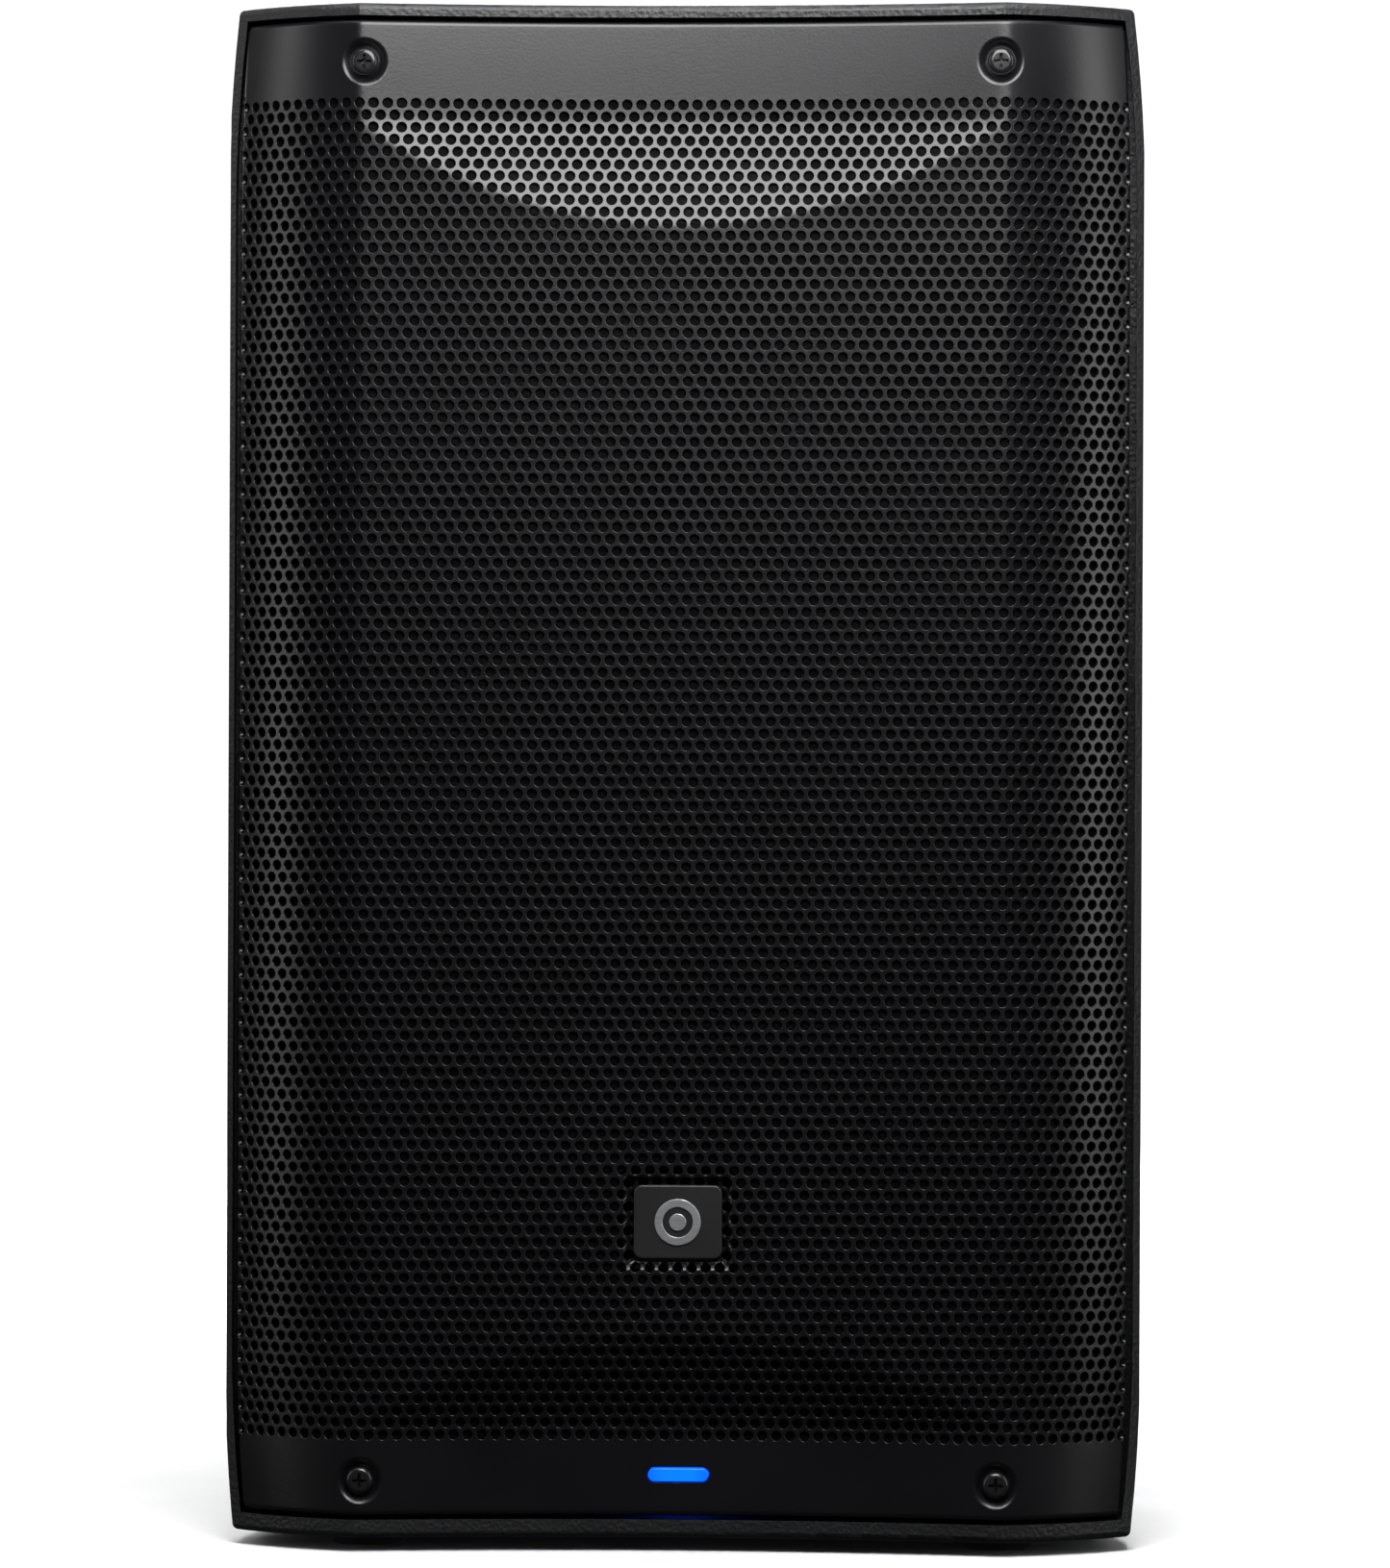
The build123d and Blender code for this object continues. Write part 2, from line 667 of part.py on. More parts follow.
board_y = 100.0
for x, name in ((combo_x[0], "combo_socket_1"), (combo_x[1], "combo_socket_2")):
    with BuildPart() as combo_socket:
        with BuildSketch(to_y(face, socket_z, x)):
            RectangleRounded(26, 35, 2)
        extrude(amount=1.6)
        add(ring(board_y, face + 1.0, 11.9, 0, socket_z, x))
        add(ring(112, face + 3, 9.4, 6.1, socket_z, x), mode=Mode.SUBTRACT)
        add(ring(104, face + 3, 3.25, 0, socket_z, x), mode=Mode.SUBTRACT)
        slot = block(x - 3.9, x + 3.9, face - 1, face + 3, socket_z + 12.1, socket_z + 15.9)
        add(slot, mode=Mode.SUBTRACT)
        fillet(faces().sort_by(Axis.Y)[-1].outer_wire().edges(), radius=0.5)
    save(combo_socket.part, name)
for x, name in ((combo_x[0], "combo_latch_1"), (combo_x[1], "combo_latch_2")):
    with BuildPart() as combo_latch:
        add(block(x - 3.5, x + 3.5, face - 14, face + 4, socket_z + 12.5, socket_z + 15.5))
        fillet(edges().filter_by(Axis.X).group_by(Axis.Y)[-1], radius=0.8)
    save(combo_latch.part, name)

with BuildPart() as output_socket:
    with BuildSketch(to_y(face, socket_z, -22)):
        RectangleRounded(26, 31, 2)
    extrude(amount=1.6)
    add(ring(board_y, face + 1.0, 11.9, 0, socket_z, -22))
    add(ring(113, face + 3, 9.4, 0, socket_z, -22), mode=Mode.SUBTRACT)
    for turn in (90, 210, 330):
        pin_x = -22 + 4.6 * cos(radians(turn))
        pin_z = socket_z + 4.6 * sin(radians(turn))
        add(ring(112, face - 4, 1.2, 0, pin_z, pin_x))
    fillet(faces().sort_by(Axis.Y)[-1].outer_wire().edges(), radius=0.5)
save(output_socket.part, "output_socket")

with BuildPart() as potentiometers:
    for x, _, _ in knobs:
        add(block(x - 7, x + 7, board_y, face - 4, knob_z - 7, knob_z + 7))
        add(ring(face - 4, face + 0.8, 3.6, 0, knob_z, x))
        add(ring(face - 12, face + 2, 3.05, 0, knob_z, x), mode=Mode.SUBTRACT)
save(potentiometers.part, "potentiometers")

for x, r, name in knobs:
    with BuildPart() as knob:
        skirt = [(face + 1.2, 0), (face + 1.2, r + 1.4), (face + 3.4, r + 1.4), (face + 4, r)]
        cap = [(face + 14.4, r - 0.6), (face + 15, r - 1.2), (face + 15, 0)]
        add(turned(skirt + cap, knob_z, x))
        with BuildSketch(to_y(face + 4.5, knob_z, x)):
            with PolarLocations(r + 0.2, 18):
                Circle(0.75)
        extrude(amount=12, mode=Mode.SUBTRACT)
        pointer = block(x - 0.5, x + 0.5, face + 14.4, face + 16, knob_z + 1.5, knob_z + r)
        add(pointer, mode=Mode.SUBTRACT)
        add(ring(face - 11, face + 1.4, 3.0, 0, knob_z, x))
    save(knob.part, name)

for x, name in buttons:
    with BuildPart() as button:
        add(ring(face - 4, face + 3.5, 3.25, 0, button_z, x))
        fillet(edges().group_by(Axis.Y)[-1], radius=0.6)
        add(ring(face - 6, face - 2.3, 4.4, 0, button_z, x))
    save(button.part, name)

with BuildPart() as mains_inlet:
    with BuildSketch(to_y(face, 370, inlet_x)):
        RectangleRounded(50, 70, 2.5)
    extrude(amount=2.4)
    fillet(faces().sort_by(Axis.Y)[-1].outer_wire().edges(), radius=0.8)
    add(block(inlet_x - 15, inlet_x + 15, board_y, face + 1, 340, 400))
    with BuildSketch(to_y(face + 3, inlet_z, inlet_x)):
        RectangleRounded(24.6, 16.6, 3)
    extrude(amount=-18, mode=Mode.SUBTRACT)
    with BuildSketch(to_y(face + 3, rocker_z, inlet_x)):
        Rectangle(23.0, 14.0)
    extrude(amount=-19, mode=Mode.SUBTRACT)
    for x, z in ((-7, -2), (7, -2), (0, 2.5)):
        add(block(inlet_x + x - 1, inlet_x + x + 1, 110, face - 3.5, inlet_z + z - 2, inlet_z + z + 2))
    for x in (-20, 20):
        add(Solid.make_cone(1.6, 3.2, 1.6, to_y(face + 0.8, 370, inlet_x + x)), mode=Mode.SUBTRACT)
save(mains_inlet.part, "mains_inlet")

# Rocker at rest with its left half in, seen from behind; it tips about Z by 14 degrees.
rocker_tilt = 7.0
with BuildPart() as power_rocker:
    with BuildSketch(Plane.XY.offset(rocker_z - 6.6)):
        with BuildLine():
            Polyline((-10.6, 3.6), (0, 2.4), (10.6, 3.6), (8.6, -4.4), (-8.6, -4.4), close=True)
        make_face()
    extrude(amount=13.2)
    fillet(edges().filter_by(Axis.Z).group_by(Axis.Y)[-1], radius=0.6)
rocker = Pos(inlet_x, face - 2, 0) * Rot(0, 0, rocker_tilt) * power_rocker.part
save(rocker, "power_rocker")

panel_screws = pan_screw(panel_spots, rear, 3.5, 2.2, 1.7, 14, 4.0)
save(panel_screws, "panel_screws")

# Circuit board with its transformer, carried by the sockets.
with BuildPart() as amp_board:
    add(block(-90, 84, board_y - 1.6, board_y, 128, 425))
    for x, z in ((60, 150), (60, 176), (60, 202), (60, 228)):
        add(ring(board_y - 32, board_y - 1.6, 11, 0, z, x))
    add(block(-75, 75, board_y, face - 2, 190, 200))
save(amp_board.part, "amp_board")

with BuildPart() as power_transformer:
    add(block(-70, -20, board_y - 33.6, board_y - 1.6, 140, 184))
    add(block(-64, -26, board_y - 38, board_y - 1.6, 150, 174))
    fillet(edges().filter_by(Axis.Z).group_by(Axis.Y)[0], radius=3)
save(power_transformer.part, "power_transformer")

# Top handle and its bolts.
print("handle and fittings")
with BuildPart() as handle:
    with BuildSketch(Plane(origin=(0, handle_y + 17, 0), x_dir=(1, 0, 0), z_dir=(0, -1, 0))):
        with BuildLine():
            Polyline((-79, 535), (-79, 549), (79, 549), (79, 535), (62, 535), (56, 537.5))
            ThreePointArc((56, 537.5), (0, 539.5), (-56, 537.5))
            Polyline((-56, 537.5), (-62, 535), (-79, 535))
        make_face()
    extrude(amount=34)
    fillet(edges().filter_by(Axis.X), radius=3)
    with BuildSketch(Plane.XY.offset(534)):
        with Locations(*[(sx * 72, handle_y + sy * 9) for sx in (1, -1) for sy in (1, -1)]):
            Circle(2.6)
    extrude(amount=20, mode=Mode.SUBTRACT)
    with BuildSketch(Plane.XY.offset(543.5)):
        with Locations(*[(sx * 72, handle_y + sy * 9) for sx in (1, -1) for sy in (1, -1)]):
            Circle(4.8)
    extrude(amount=10, mode=Mode.SUBTRACT)
save(handle.part, "handle")

with BuildPart() as handle_bolts:
    with BuildSketch(Plane.XY.offset(543.5)):
        with Locations(*[(sx * 72, handle_y + sy * 9) for sx in (1, -1) for sy in (1, -1)]):
            Circle(4.2)
    extrude(amount=4)
    with BuildSketch(Plane.XY.offset(548)):
        with Locations(*[(sx * 72, handle_y + sy * 9) for sx in (1, -1) for sy in (1, -1)]):
            RegularPolygon(2.3, 6)
    extrude(amount=-3, mode=Mode.SUBTRACT)
    with BuildSketch(Plane.XY.offset(543.5)):
        with Locations(*[(sx * 72, handle_y + sy * 9) for sx in (1, -1) for sy in (1, -1)]):
            Circle(2.4)
    extrude(amount=-26)
save(handle_bolts.part, "handle_bolts")

# Pole socket: a blind tube in the bottom, open downwards.
with BuildPart() as pole_socket:
    with BuildSketch(Plane.XY.offset(foot_height)):
        with Locations((0, pole_y)):
            Circle(35.5)
    extrude(amount=2)
    with BuildSketch(Plane.XY.offset(foot_height)):
        with Locations((0, pole_y)):
            Circle(22.6)
    extrude(amount=90)
    with BuildSketch(Plane.XY.offset(foot_height)):
        with Locations((0, pole_y)):
            Circle(pole_bore_r)
    extrude(amount=86, mode=Mode.SUBTRACT)
    fillet(faces().sort_by(Axis.Z)[0].outer_wire().edges(), radius=0.5)
save(pole_socket.part, "pole_socket")

foot_spots = [(113, -112), (-113, -112), (87, 118), (-87, 118)]
with BuildPart() as rubber_feet:
    with BuildSketch(Plane.XY.offset(foot_height + 1)):
        with Locations(*foot_spots):
            Circle(13.5)
    extrude(amount=-foot_height - 1, taper=4)
    fillet(faces().group_by(Axis.Z)[0].edges(), radius=0.8)
save(rubber_feet.part, "rubber_feet")

# Rigging inserts with their plugs: two on top, one below.
insert_seats = [
    (115, handle_y, height - 5, 1),
    (-115, handle_y, height - 5, 1),
    (0, 105, foot_height + 4, -1),
]
inserts = []
plugs = []
for x, y, z, rise in insert_seats:
    seat = Plane(origin=(x, y, z), z_dir=(0, 0, rise))
    with BuildPart(seat) as insert:
        Cylinder(8.0, 13, align=(Align.CENTER, Align.CENTER, Align.MAX))
        Cylinder(4.6, 13, align=(Align.CENTER, Align.CENTER, Align.MAX), mode=Mode.SUBTRACT)
    inserts.append(insert.part.solid())
    with BuildPart(seat) as plug:
        Cylinder(7.4, 3.6, align=(Align.CENTER, Align.CENTER, Align.MIN))
        fillet(edges().filter_by(GeomType.CIRCLE).group_by(Axis.Z)[-1 if rise > 0 else 0], radius=0.8)
        Cylinder(4.5, 11, align=(Align.CENTER, Align.CENTER, Align.MAX))
        with BuildSketch(seat.offset(3.6)):
            RegularPolygon(3.4, 6)
        extrude(amount=-2.6, mode=Mode.SUBTRACT)
    plugs.append(plug.part.solid())
save(Compound(children=inserts), "rigging_inserts")
save(Compound(children=plugs), "rigging_plugs")

# Gasket between the shells.
with BuildPart() as shell_gasket:
    add(silhouette(160.2, 6.5, height - 1.5, 3.6, 4.3, seam_y - 1, seam_y + 1))
    add(
        silhouette(157.4, 9.5, height - 4.5, 3.6, 4.3, seam_y - 2, seam_y + 2),
        mode=Mode.SUBTRACT,
    )
save(shell_gasket.part, "shell_gasket")

# Damping lining on the side walls.
with BuildPart() as damping_lining:
    add(hollow.part)
    with BuildSketch(Plane.XY.offset(foot_height + wall)):
        with BuildLine():
            Polyline(
                (-inner_front + 12, baffle_back - 1),
                (inner_front - 12, baffle_back - 1),
                (inner_back - 12, back_y),
                (-inner_back + 12, back_y),
                close=True,
            )
        make_face()
    extrude(amount=height, mode=Mode.SUBTRACT)
    add(block(-170, 170, -70, 96, 60, 480), mode=Mode.INTERSECT)
save(damping_lining.part, "damping_lining")

# Wires from the board to the drivers.
with BuildPart() as wiring:
    for path in (
        [(30, board_y - 3.4, 300), (44, 60, 330), (52, 20, 400), (45.6, 8, 430)],
        [(36, board_y - 3.4, 300), (84, 60, 260), (88, -20, 210), (82.5, -50, 176)],
    ):
        with BuildLine() as lead:
            Spline(*path)
        with BuildSketch(Plane(origin=lead.line @ 0, z_dir=lead.line % 0)):
            Circle(1.4)
        sweep(path=lead.line)
save(wiring.part, "wiring")
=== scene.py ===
import json
import math

import bpy
import numpy as np
from mathutils import Matrix, Vector


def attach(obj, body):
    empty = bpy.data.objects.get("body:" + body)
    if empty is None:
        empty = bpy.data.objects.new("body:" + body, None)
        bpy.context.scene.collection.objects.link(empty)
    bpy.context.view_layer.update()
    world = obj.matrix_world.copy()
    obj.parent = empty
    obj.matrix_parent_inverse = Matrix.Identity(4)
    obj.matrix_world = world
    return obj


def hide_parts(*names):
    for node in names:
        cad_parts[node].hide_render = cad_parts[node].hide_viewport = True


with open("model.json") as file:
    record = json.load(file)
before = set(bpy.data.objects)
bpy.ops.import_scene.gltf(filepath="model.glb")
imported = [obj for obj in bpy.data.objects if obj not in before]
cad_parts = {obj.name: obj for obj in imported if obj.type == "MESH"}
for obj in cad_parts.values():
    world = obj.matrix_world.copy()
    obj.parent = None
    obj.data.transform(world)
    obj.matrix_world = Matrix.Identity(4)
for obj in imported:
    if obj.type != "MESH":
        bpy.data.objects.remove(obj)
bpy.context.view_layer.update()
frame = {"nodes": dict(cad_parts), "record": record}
nodes = frame["nodes"]
print("frame loaded", len(nodes), "nodes")

mm = 0.001


def toLinear(hexColour):
    # sRGB hex to a linear RGBA colour
    parts = [int(hexColour[i : i + 2], 16) / 255 for i in (1, 3, 5)]
    linear = [c / 12.92 if c <= 0.04045 else ((c + 0.055) / 1.055) ** 2.4 for c in parts]
    return (*linear, 1.0)


def addNode(tree, kind, settings=None, links=None):
    # one node, its socket values or attributes, and what feeds its sockets
    node = tree.nodes.new(kind)
    for key, value in (settings or {}).items():
        if isinstance(key, int) or key in node.inputs:
            node.inputs[key].default_value = value
        else:
            setattr(node, key, value)
    for key, source in (links or {}).items():
        tree.links.new(source, node.inputs[key])
    return node


def newMaterial(name):
    material = bpy.data.materials.new(name)
    material.use_nodes = True
    material.node_tree.nodes.clear()
    return material, material.node_tree


# Each finish: what the real one is, its colours, its gloss, and the real size of its grain in mm.
finishes = {
    # moulded polypropylene with a leather grain: dull black that turns grey where light grazes it
    # (the real grain is about 1 mm; coarsened to 1.5 mm to show)
    "mouldedPolypropyleneGrained": {
        "slots": ["shell_plastic"],
        "dark": "#111214",
        "light": "#1c1d1f",
        "rough": (0.45, 0.52),
        "grain": 1.5,
        "grainDepth": 0.28,
        "fine": 0.35,
        "fineDepth": 0.05,
        "cells": True,
    },
    # powder-coated steel sheet: very fine orange peel, satin sheen
    "powderCoatedSteelSheet": {
        "slots": ["grille_paint", "panel_paint"],
        "dark": "#08080a",
        "light": "#101014",
        "rough": (0.27, 0.33),
        "grain": 0.9,
        "grainDepth": 0.035,
        "fine": 0.3,
        "fineDepth": 0.012,
    },
    # open-cell polyurethane foam, cut: matt black pores with a few shiny cell walls. Its near-black
    # colours and its low gloss are tuned darker than the foam's own black: painted shade, for the
    # dark of the open pores that is more than the bump alone gives
    "cutFoamWithPaintedShade": {
        "slots": ["foam"],
        # both colours are the foam's black with painted shade of the pores and of the holes in
        # front of it
        "dark": "#010101",
        "light": "#060607",
        "rough": (0.6, 0.95),
        "grain": 1.3,
        "grainDepth": 0.35,
        "fine": 0.4,
        "fineDepth": 0.2,
        "gloss": 0.08,
        "cells": True,
    },
    # steel screws dipped in black lacquer: glossy black, sharp highlights
    "lacqueredSteelScrew": {
        "slots": ["black_screw"],
        "dark": "#151517",
        "light": "#202022",
        "rough": (0.16, 0.24),
        "grain": 1.5,
        "grainDepth": 0.02,
        "fine": 0.5,
        "fineDepth": 0.01,
    },
    # moulded ABS, fine spark-eroded texture: satin black
    "mouldedAbsSatin": {
        "slots": ["badge_plastic", "horn_plastic"],
        "dark": "#18181a",
        "light": "#202022",
        "rough": (0.38, 0.5),
        "grain": 0.6,
        "grainDepth": 0.02,
        "fine": 0.25,
        "fineDepth": 0.01,
    },
    # pressed steel with black baked enamel
    "enamelledSteel": {
        "slots": ["cast_alloy"],
        "dark": "#17181a",
        "light": "#202124",
        "rough": (0.28, 0.4),
        "grain": 2.2,
        "grainDepth": 0.03,
        "fine": 0.6,
        "fineDepth": 0.01,
    },
    # moulded rubber: matt, slightly dusty black
    "mouldedRubber": {
        "slots": ["rubber", "knob_rubber"],
        "dark": "#111112",
        "light": "#1d1d1e",
        "rough": (0.62, 0.8),
        "grain": 1.0,
        "grainDepth": 0.04,
        "fine": 0.3,
        "fineDepth": 0.02,
    },
    # pressed pulp paper, dyed: fibrous matt black
    "pressedPulpPaper": {
        "slots": ["paper"],
        "dark": "#151516",
        "light": "#242425",
        "rough": (0.75, 0.92),
        "grain": 2.4,
        "grainDepth": 0.15,
        "fine": 0.5,
        "fineDepth": 0.08,
    },
    # resin-dipped cotton cloth: amber brown weave
    "resinDippedCloth": {
        "slots": ["coated_cloth"],
        "dark": "#4b3a22",
        "light": "#7a6038",
        "rough": (0.55, 0.7),
        "grain": 0.8,
        "grainDepth": 0.2,
        "fine": 0.4,
        "fineDepth": 0.1,
        "cells": True,
    },
    # sintered ferrite, ground: dull charcoal with fine pits
    "groundFerrite": {
        "slots": ["ferrite"],
        "dark": "#232426",
        "light": "#34363a",
        "rough": (0.5, 0.65),
        "grain": 0.9,
        "grainDepth": 0.05,
        "fine": 0.3,
        "fineDepth": 0.03,
    },
    # moulded nylon: semi-gloss black with faint flow marks
    "mouldedNylon": {
        "slots": ["gloss_black"],
        "dark": "#0e0e10",
        "light": "#151517",
        "rough": (0.22, 0.34),
        "grain": 3.0,
        "grainDepth": 0.02,
        "fine": 0.5,
        "fineDepth": 0.008,
    },
    # moulded polycarbonate button: warm light grey
    "mouldedPolycarbonateGrey": {
        "slots": ["button_plastic"],
        "dark": "#8d9093",
        "light": "#9da0a3",
        "rough": (0.35, 0.45),
        "grain": 1.2,
        "grainDepth": 0.02,
        "fine": 0.3,
        "fineDepth": 0.01,
    },
    # needled polyester wadding: pale grey tangled fibres
    "needledPolyester": {
        "slots": ["felt"],
        "dark": "#5a5a58",
        "light": "#8c8c88",
        "rough": (0.85, 0.95),
        "grain": 3.0,
        "grainDepth": 0.8,
        "fine": 0.8,
        "fineDepth": 0.4,
    },
    # extruded PVC insulation: soft gloss red
    "extrudedPvc": {
        "slots": ["wire"],
        "dark": "#6d0d0d",
        "light": "#8d1412",
        "rough": (0.3, 0.42),
        "grain": 4.0,
        "grainDepth": 0.02,
        "fine": 1.0,
        "fineDepth": 0.01,
    },
    # fibreglass board under solder mask: green with a faint weave
    "solderMaskedFibreglass": {
        "slots": ["board"],
        "dark": "#0b3a22",
        "light": "#12502f",
        "rough": (0.25, 0.4),
        "grain": 1.6,
        "grainDepth": 0.05,
        "fine": 0.5,
        "fineDepth": 0.02,
        "cells": True,
    },
}

# Metals: colour, roughness, direction of the brushing or turning marks.
metals = {
    # brushed stainless plate: pale, streaked sideways, soft highlight
    "brushedStainless": {
        "slots": ["brushed_metal"],
        "dark": "#c4c8cb",
        "light": "#eceff0",
        "rough": (0.38, 0.5),
        "stretch": (0.35, 8, 8),
        "groove": 0.05,
    },
    # zinc-plated steel: bluish grey with cloudy spangle
    "zincPlatedSteel": {
        "slots": ["zinc_steel"],
        "dark": "#8b8e90",
        "light": "#b4b7b6",
        "rough": (0.3, 0.45),
        "stretch": (3, 3, 3),
    },
    # anodised aluminium extrusion: black, fine lines along the fins
    "anodisedAluminium": {
        "slots": ["black_anodised"],
        "dark": "#2a2b2f",
        "light": "#3b3c41",
        "rough": (0.38, 0.5),
        "stretch": (6, 6, 0.4),
    },
    # formed titanium foil: warm grey, slightly mottled
    "formedTitanium": {
        "slots": ["titanium"],
        "dark": "#8a8782",
        "light": "#aaa7a1",
        "rough": (0.28, 0.4),
        "stretch": (2, 2, 2),
    },
    # turned brass: yellow with fine turning rings
    "turnedBrass": {
        "slots": ["brass"],
        "dark": "#b08a3c",
        "light": "#d4ae5c",
        "rough": (0.2, 0.34),
        "stretch": (1, 1, 9),
    },
    # enamelled copper winding: red brown with tight turns
    "enamelledCopper": {
        "slots": ["copper"],
        "dark": "#7c3a1c",
        "light": "#b4622f",
        "rough": (0.22, 0.36),
        "stretch": (0.5, 9, 0.5),
    },
}


# What the finishes share: cloud sizes in mm, the shares of cloud, grain and streak in the colour,
# and the part of the noise's range that drives roughness and shade
pattern = {
    "mouldedCloud": 45.0,
    "metalCloud": 12.0,
    "cloudShare": 0.55,
    "grainShare": 0.45,
    "streakShare": 0.6,
    "noiseLow": 0.3,
    "noiseHigh": 0.7,
    "shadeLow": 0.5,
    "shadeHigh": 1.1,
}


def mouldedFinish(name, spec):
    material, tree = newMaterial(name)
    place = addNode(tree, "ShaderNodeTexCoord").outputs["Object"]
    cloud = addNode(
        tree,
        "ShaderNodeTexNoise",
        {"Scale": 1 / (pattern["mouldedCloud"] * mm), "Detail": 4.0},
        {"Vector": place},
    )
    if spec.get("cells"):
        grain = addNode(
            tree,
            "ShaderNodeTexVoronoi",
            {"Scale": 1 / (spec["grain"] * mm), "feature": "SMOOTH_F1", "Smoothness": 0.6},
            {"Vector": place},
        ).outputs["Distance"]
    else:
        grain = addNode(
            tree,
            "ShaderNodeTexNoise",
            {"Scale": 1 / (spec["grain"] * mm), "Detail": 3.0},
            {"Vector": place},
        ).outputs["Fac"]
    fine = addNode(
        tree,
        "ShaderNodeTexNoise",
        {"Scale": 1 / (spec["fine"] * mm), "Detail": 2.0},
        {"Vector": place},
    )
    shade = addNode(
        tree,
        "ShaderNodeMath",
        {"operation": "MULTIPLY_ADD", 1: pattern["cloudShare"], 2: 0.0},
        {0: cloud.outputs["Fac"]},
    )
    shade = addNode(
        tree,
        "ShaderNodeMath",
        {"operation": "MULTIPLY_ADD", 1: pattern["grainShare"]},
        {0: grain, 2: shade.outputs[0]},
    )
    colour = addNode(tree, "ShaderNodeMix", {"data_type": "RGBA"}, {"Factor": shade.outputs[0]})
    colour.inputs[6].default_value = toLinear(spec["dark"])
    colour.inputs[7].default_value = toLinear(spec["light"])
    rough = addNode(
        tree,
        "ShaderNodeMapRange",
        {
            "From Min": pattern["noiseLow"],
            "From Max": pattern["noiseHigh"],
            "To Min": spec["rough"][0],
            "To Max": spec["rough"][1],
        },
        {"Value": cloud.outputs["Fac"]},
    )
    fineBump = addNode(
        tree,
        "ShaderNodeBump",
        {"Strength": 0.6, "Distance": spec["fineDepth"] * mm},
        {"Height": fine.outputs["Fac"]},
    )
    bump = addNode(
        tree,
        "ShaderNodeBump",
        {"Strength": 0.8, "Distance": spec["grainDepth"] * mm},
        {"Height": grain, "Normal": fineBump.outputs["Normal"]},
    )
    shader = addNode(
        tree,
        "ShaderNodeBsdfPrincipled",
        {"IOR": spec.get("ior", 1.5), "Specular IOR Level": spec.get("gloss", 0.5)},
        {
            "Base Color": colour.outputs[2],
            "Roughness": rough.outputs[0],
            "Normal": bump.outputs["Normal"],
        },
    )
    addNode(tree, "ShaderNodeOutputMaterial", {}, {"Surface": shader.outputs[0]})
    return material


def metalFinish(name, spec):
    material, tree = newMaterial(name)
    place = addNode(tree, "ShaderNodeTexCoord").outputs["Object"]
    streaks = addNode(
        tree,
        "ShaderNodeMapping",
        {"Scale": [share / mm for share in spec["stretch"]]},
        {"Vector": place},
    )
    lines = addNode(
        tree,
        "ShaderNodeTexNoise",
        {"Scale": 0.6, "Detail": 5.0},
        {"Vector": streaks.outputs[0]},
    )
    cloud = addNode(
        tree,
        "ShaderNodeTexNoise",
        {"Scale": 1 / (pattern["metalCloud"] * mm), "Detail": 3.0},
        {"Vector": place},
    )
    shade = addNode(
        tree,
        "ShaderNodeMath",
        {"operation": "MULTIPLY_ADD", 1: pattern["streakShare"]},
        {0: lines.outputs["Fac"], 2: cloud.outputs["Fac"]},
    )
    shade = addNode(
        tree,
        "ShaderNodeMapRange",
        {"From Min": pattern["shadeLow"], "From Max": pattern["shadeHigh"]},
        {"Value": shade.outputs[0]},
    )
    colour = addNode(tree, "ShaderNodeMix", {"data_type": "RGBA"}, {"Factor": shade.outputs[0]})
    colour.inputs[6].default_value = toLinear(spec["dark"])
    colour.inputs[7].default_value = toLinear(spec["light"])
    rough = addNode(
        tree,
        "ShaderNodeMapRange",
        {
            "From Min": pattern["noiseLow"],
            "From Max": pattern["noiseHigh"],
            "To Min": spec["rough"][0],
            "To Max": spec["rough"][1],
        },
        {"Value": lines.outputs["Fac"]},
    )
    bump = addNode(
        tree,
        "ShaderNodeBump",
        {"Strength": 0.6, "Distance": spec.get("groove", 0.01) * mm},
        {"Height": lines.outputs["Fac"]},
    )
    shader = addNode(
        tree,
        "ShaderNodeBsdfPrincipled",
        {"Metallic": 1.0},
        {
            "Base Color": colour.outputs[2],
            "Roughness": rough.outputs[0],
            "Normal": bump.outputs["Normal"],
        },
    )
    addNode(tree, "ShaderNodeOutputMaterial", {}, {"Surface": shader.outputs[0]})
    return material


statusLight = {
    "core": "#004dff",
    "edge": "#0040f5",
    "strength": 2.5,
    "dots": 0.8,
    "fadeFrom": 5.0,
    "fadeTo": 11.0,
}


def litDiffuser():
    # frosted polycarbonate light pipe with blue diodes behind it: an even blue, softer at the ends
    material, tree = newMaterial("frostedPolycarbonateLit")
    place = addNode(tree, "ShaderNodeTexCoord").outputs["Object"]
    frost = addNode(
        tree,
        "ShaderNodeTexNoise",
        {"Scale": 1 / (statusLight["dots"] * mm), "Detail": 2.0},
        {"Vector": place},
    )
    split = addNode(tree, "ShaderNodeSeparateXYZ", {}, {"Vector": place})
    reach = addNode(tree, "ShaderNodeMath", {"operation": "ABSOLUTE"}, {0: split.outputs["X"]})
    fade = addNode(
        tree,
        "ShaderNodeMapRange",
        {"From Min": statusLight["fadeFrom"] * mm, "From Max": statusLight["fadeTo"] * mm},
        {"Value": reach.outputs[0]},
    )
    colour = addNode(tree, "ShaderNodeMix", {"data_type": "RGBA"}, {"Factor": fade.outputs[0]})
    colour.inputs[6].default_value = toLinear(statusLight["core"])
    colour.inputs[7].default_value = toLinear(statusLight["edge"])
    bump = addNode(
        tree,
        "ShaderNodeBump",
        {"Strength": 0.3, "Distance": 0.02 * mm},
        {"Height": frost.outputs["Fac"]},
    )
    shader = addNode(
        tree,
        "ShaderNodeBsdfPrincipled",
        {"Roughness": 0.35, "Emission Strength": statusLight["strength"]},
        {
            "Base Color": colour.outputs[2],
            "Emission Color": colour.outputs[2],
            "Normal": bump.outputs["Normal"],
        },
    )
    addNode(tree, "ShaderNodeOutputMaterial", {}, {"Surface": shader.outputs[0]})
    return material


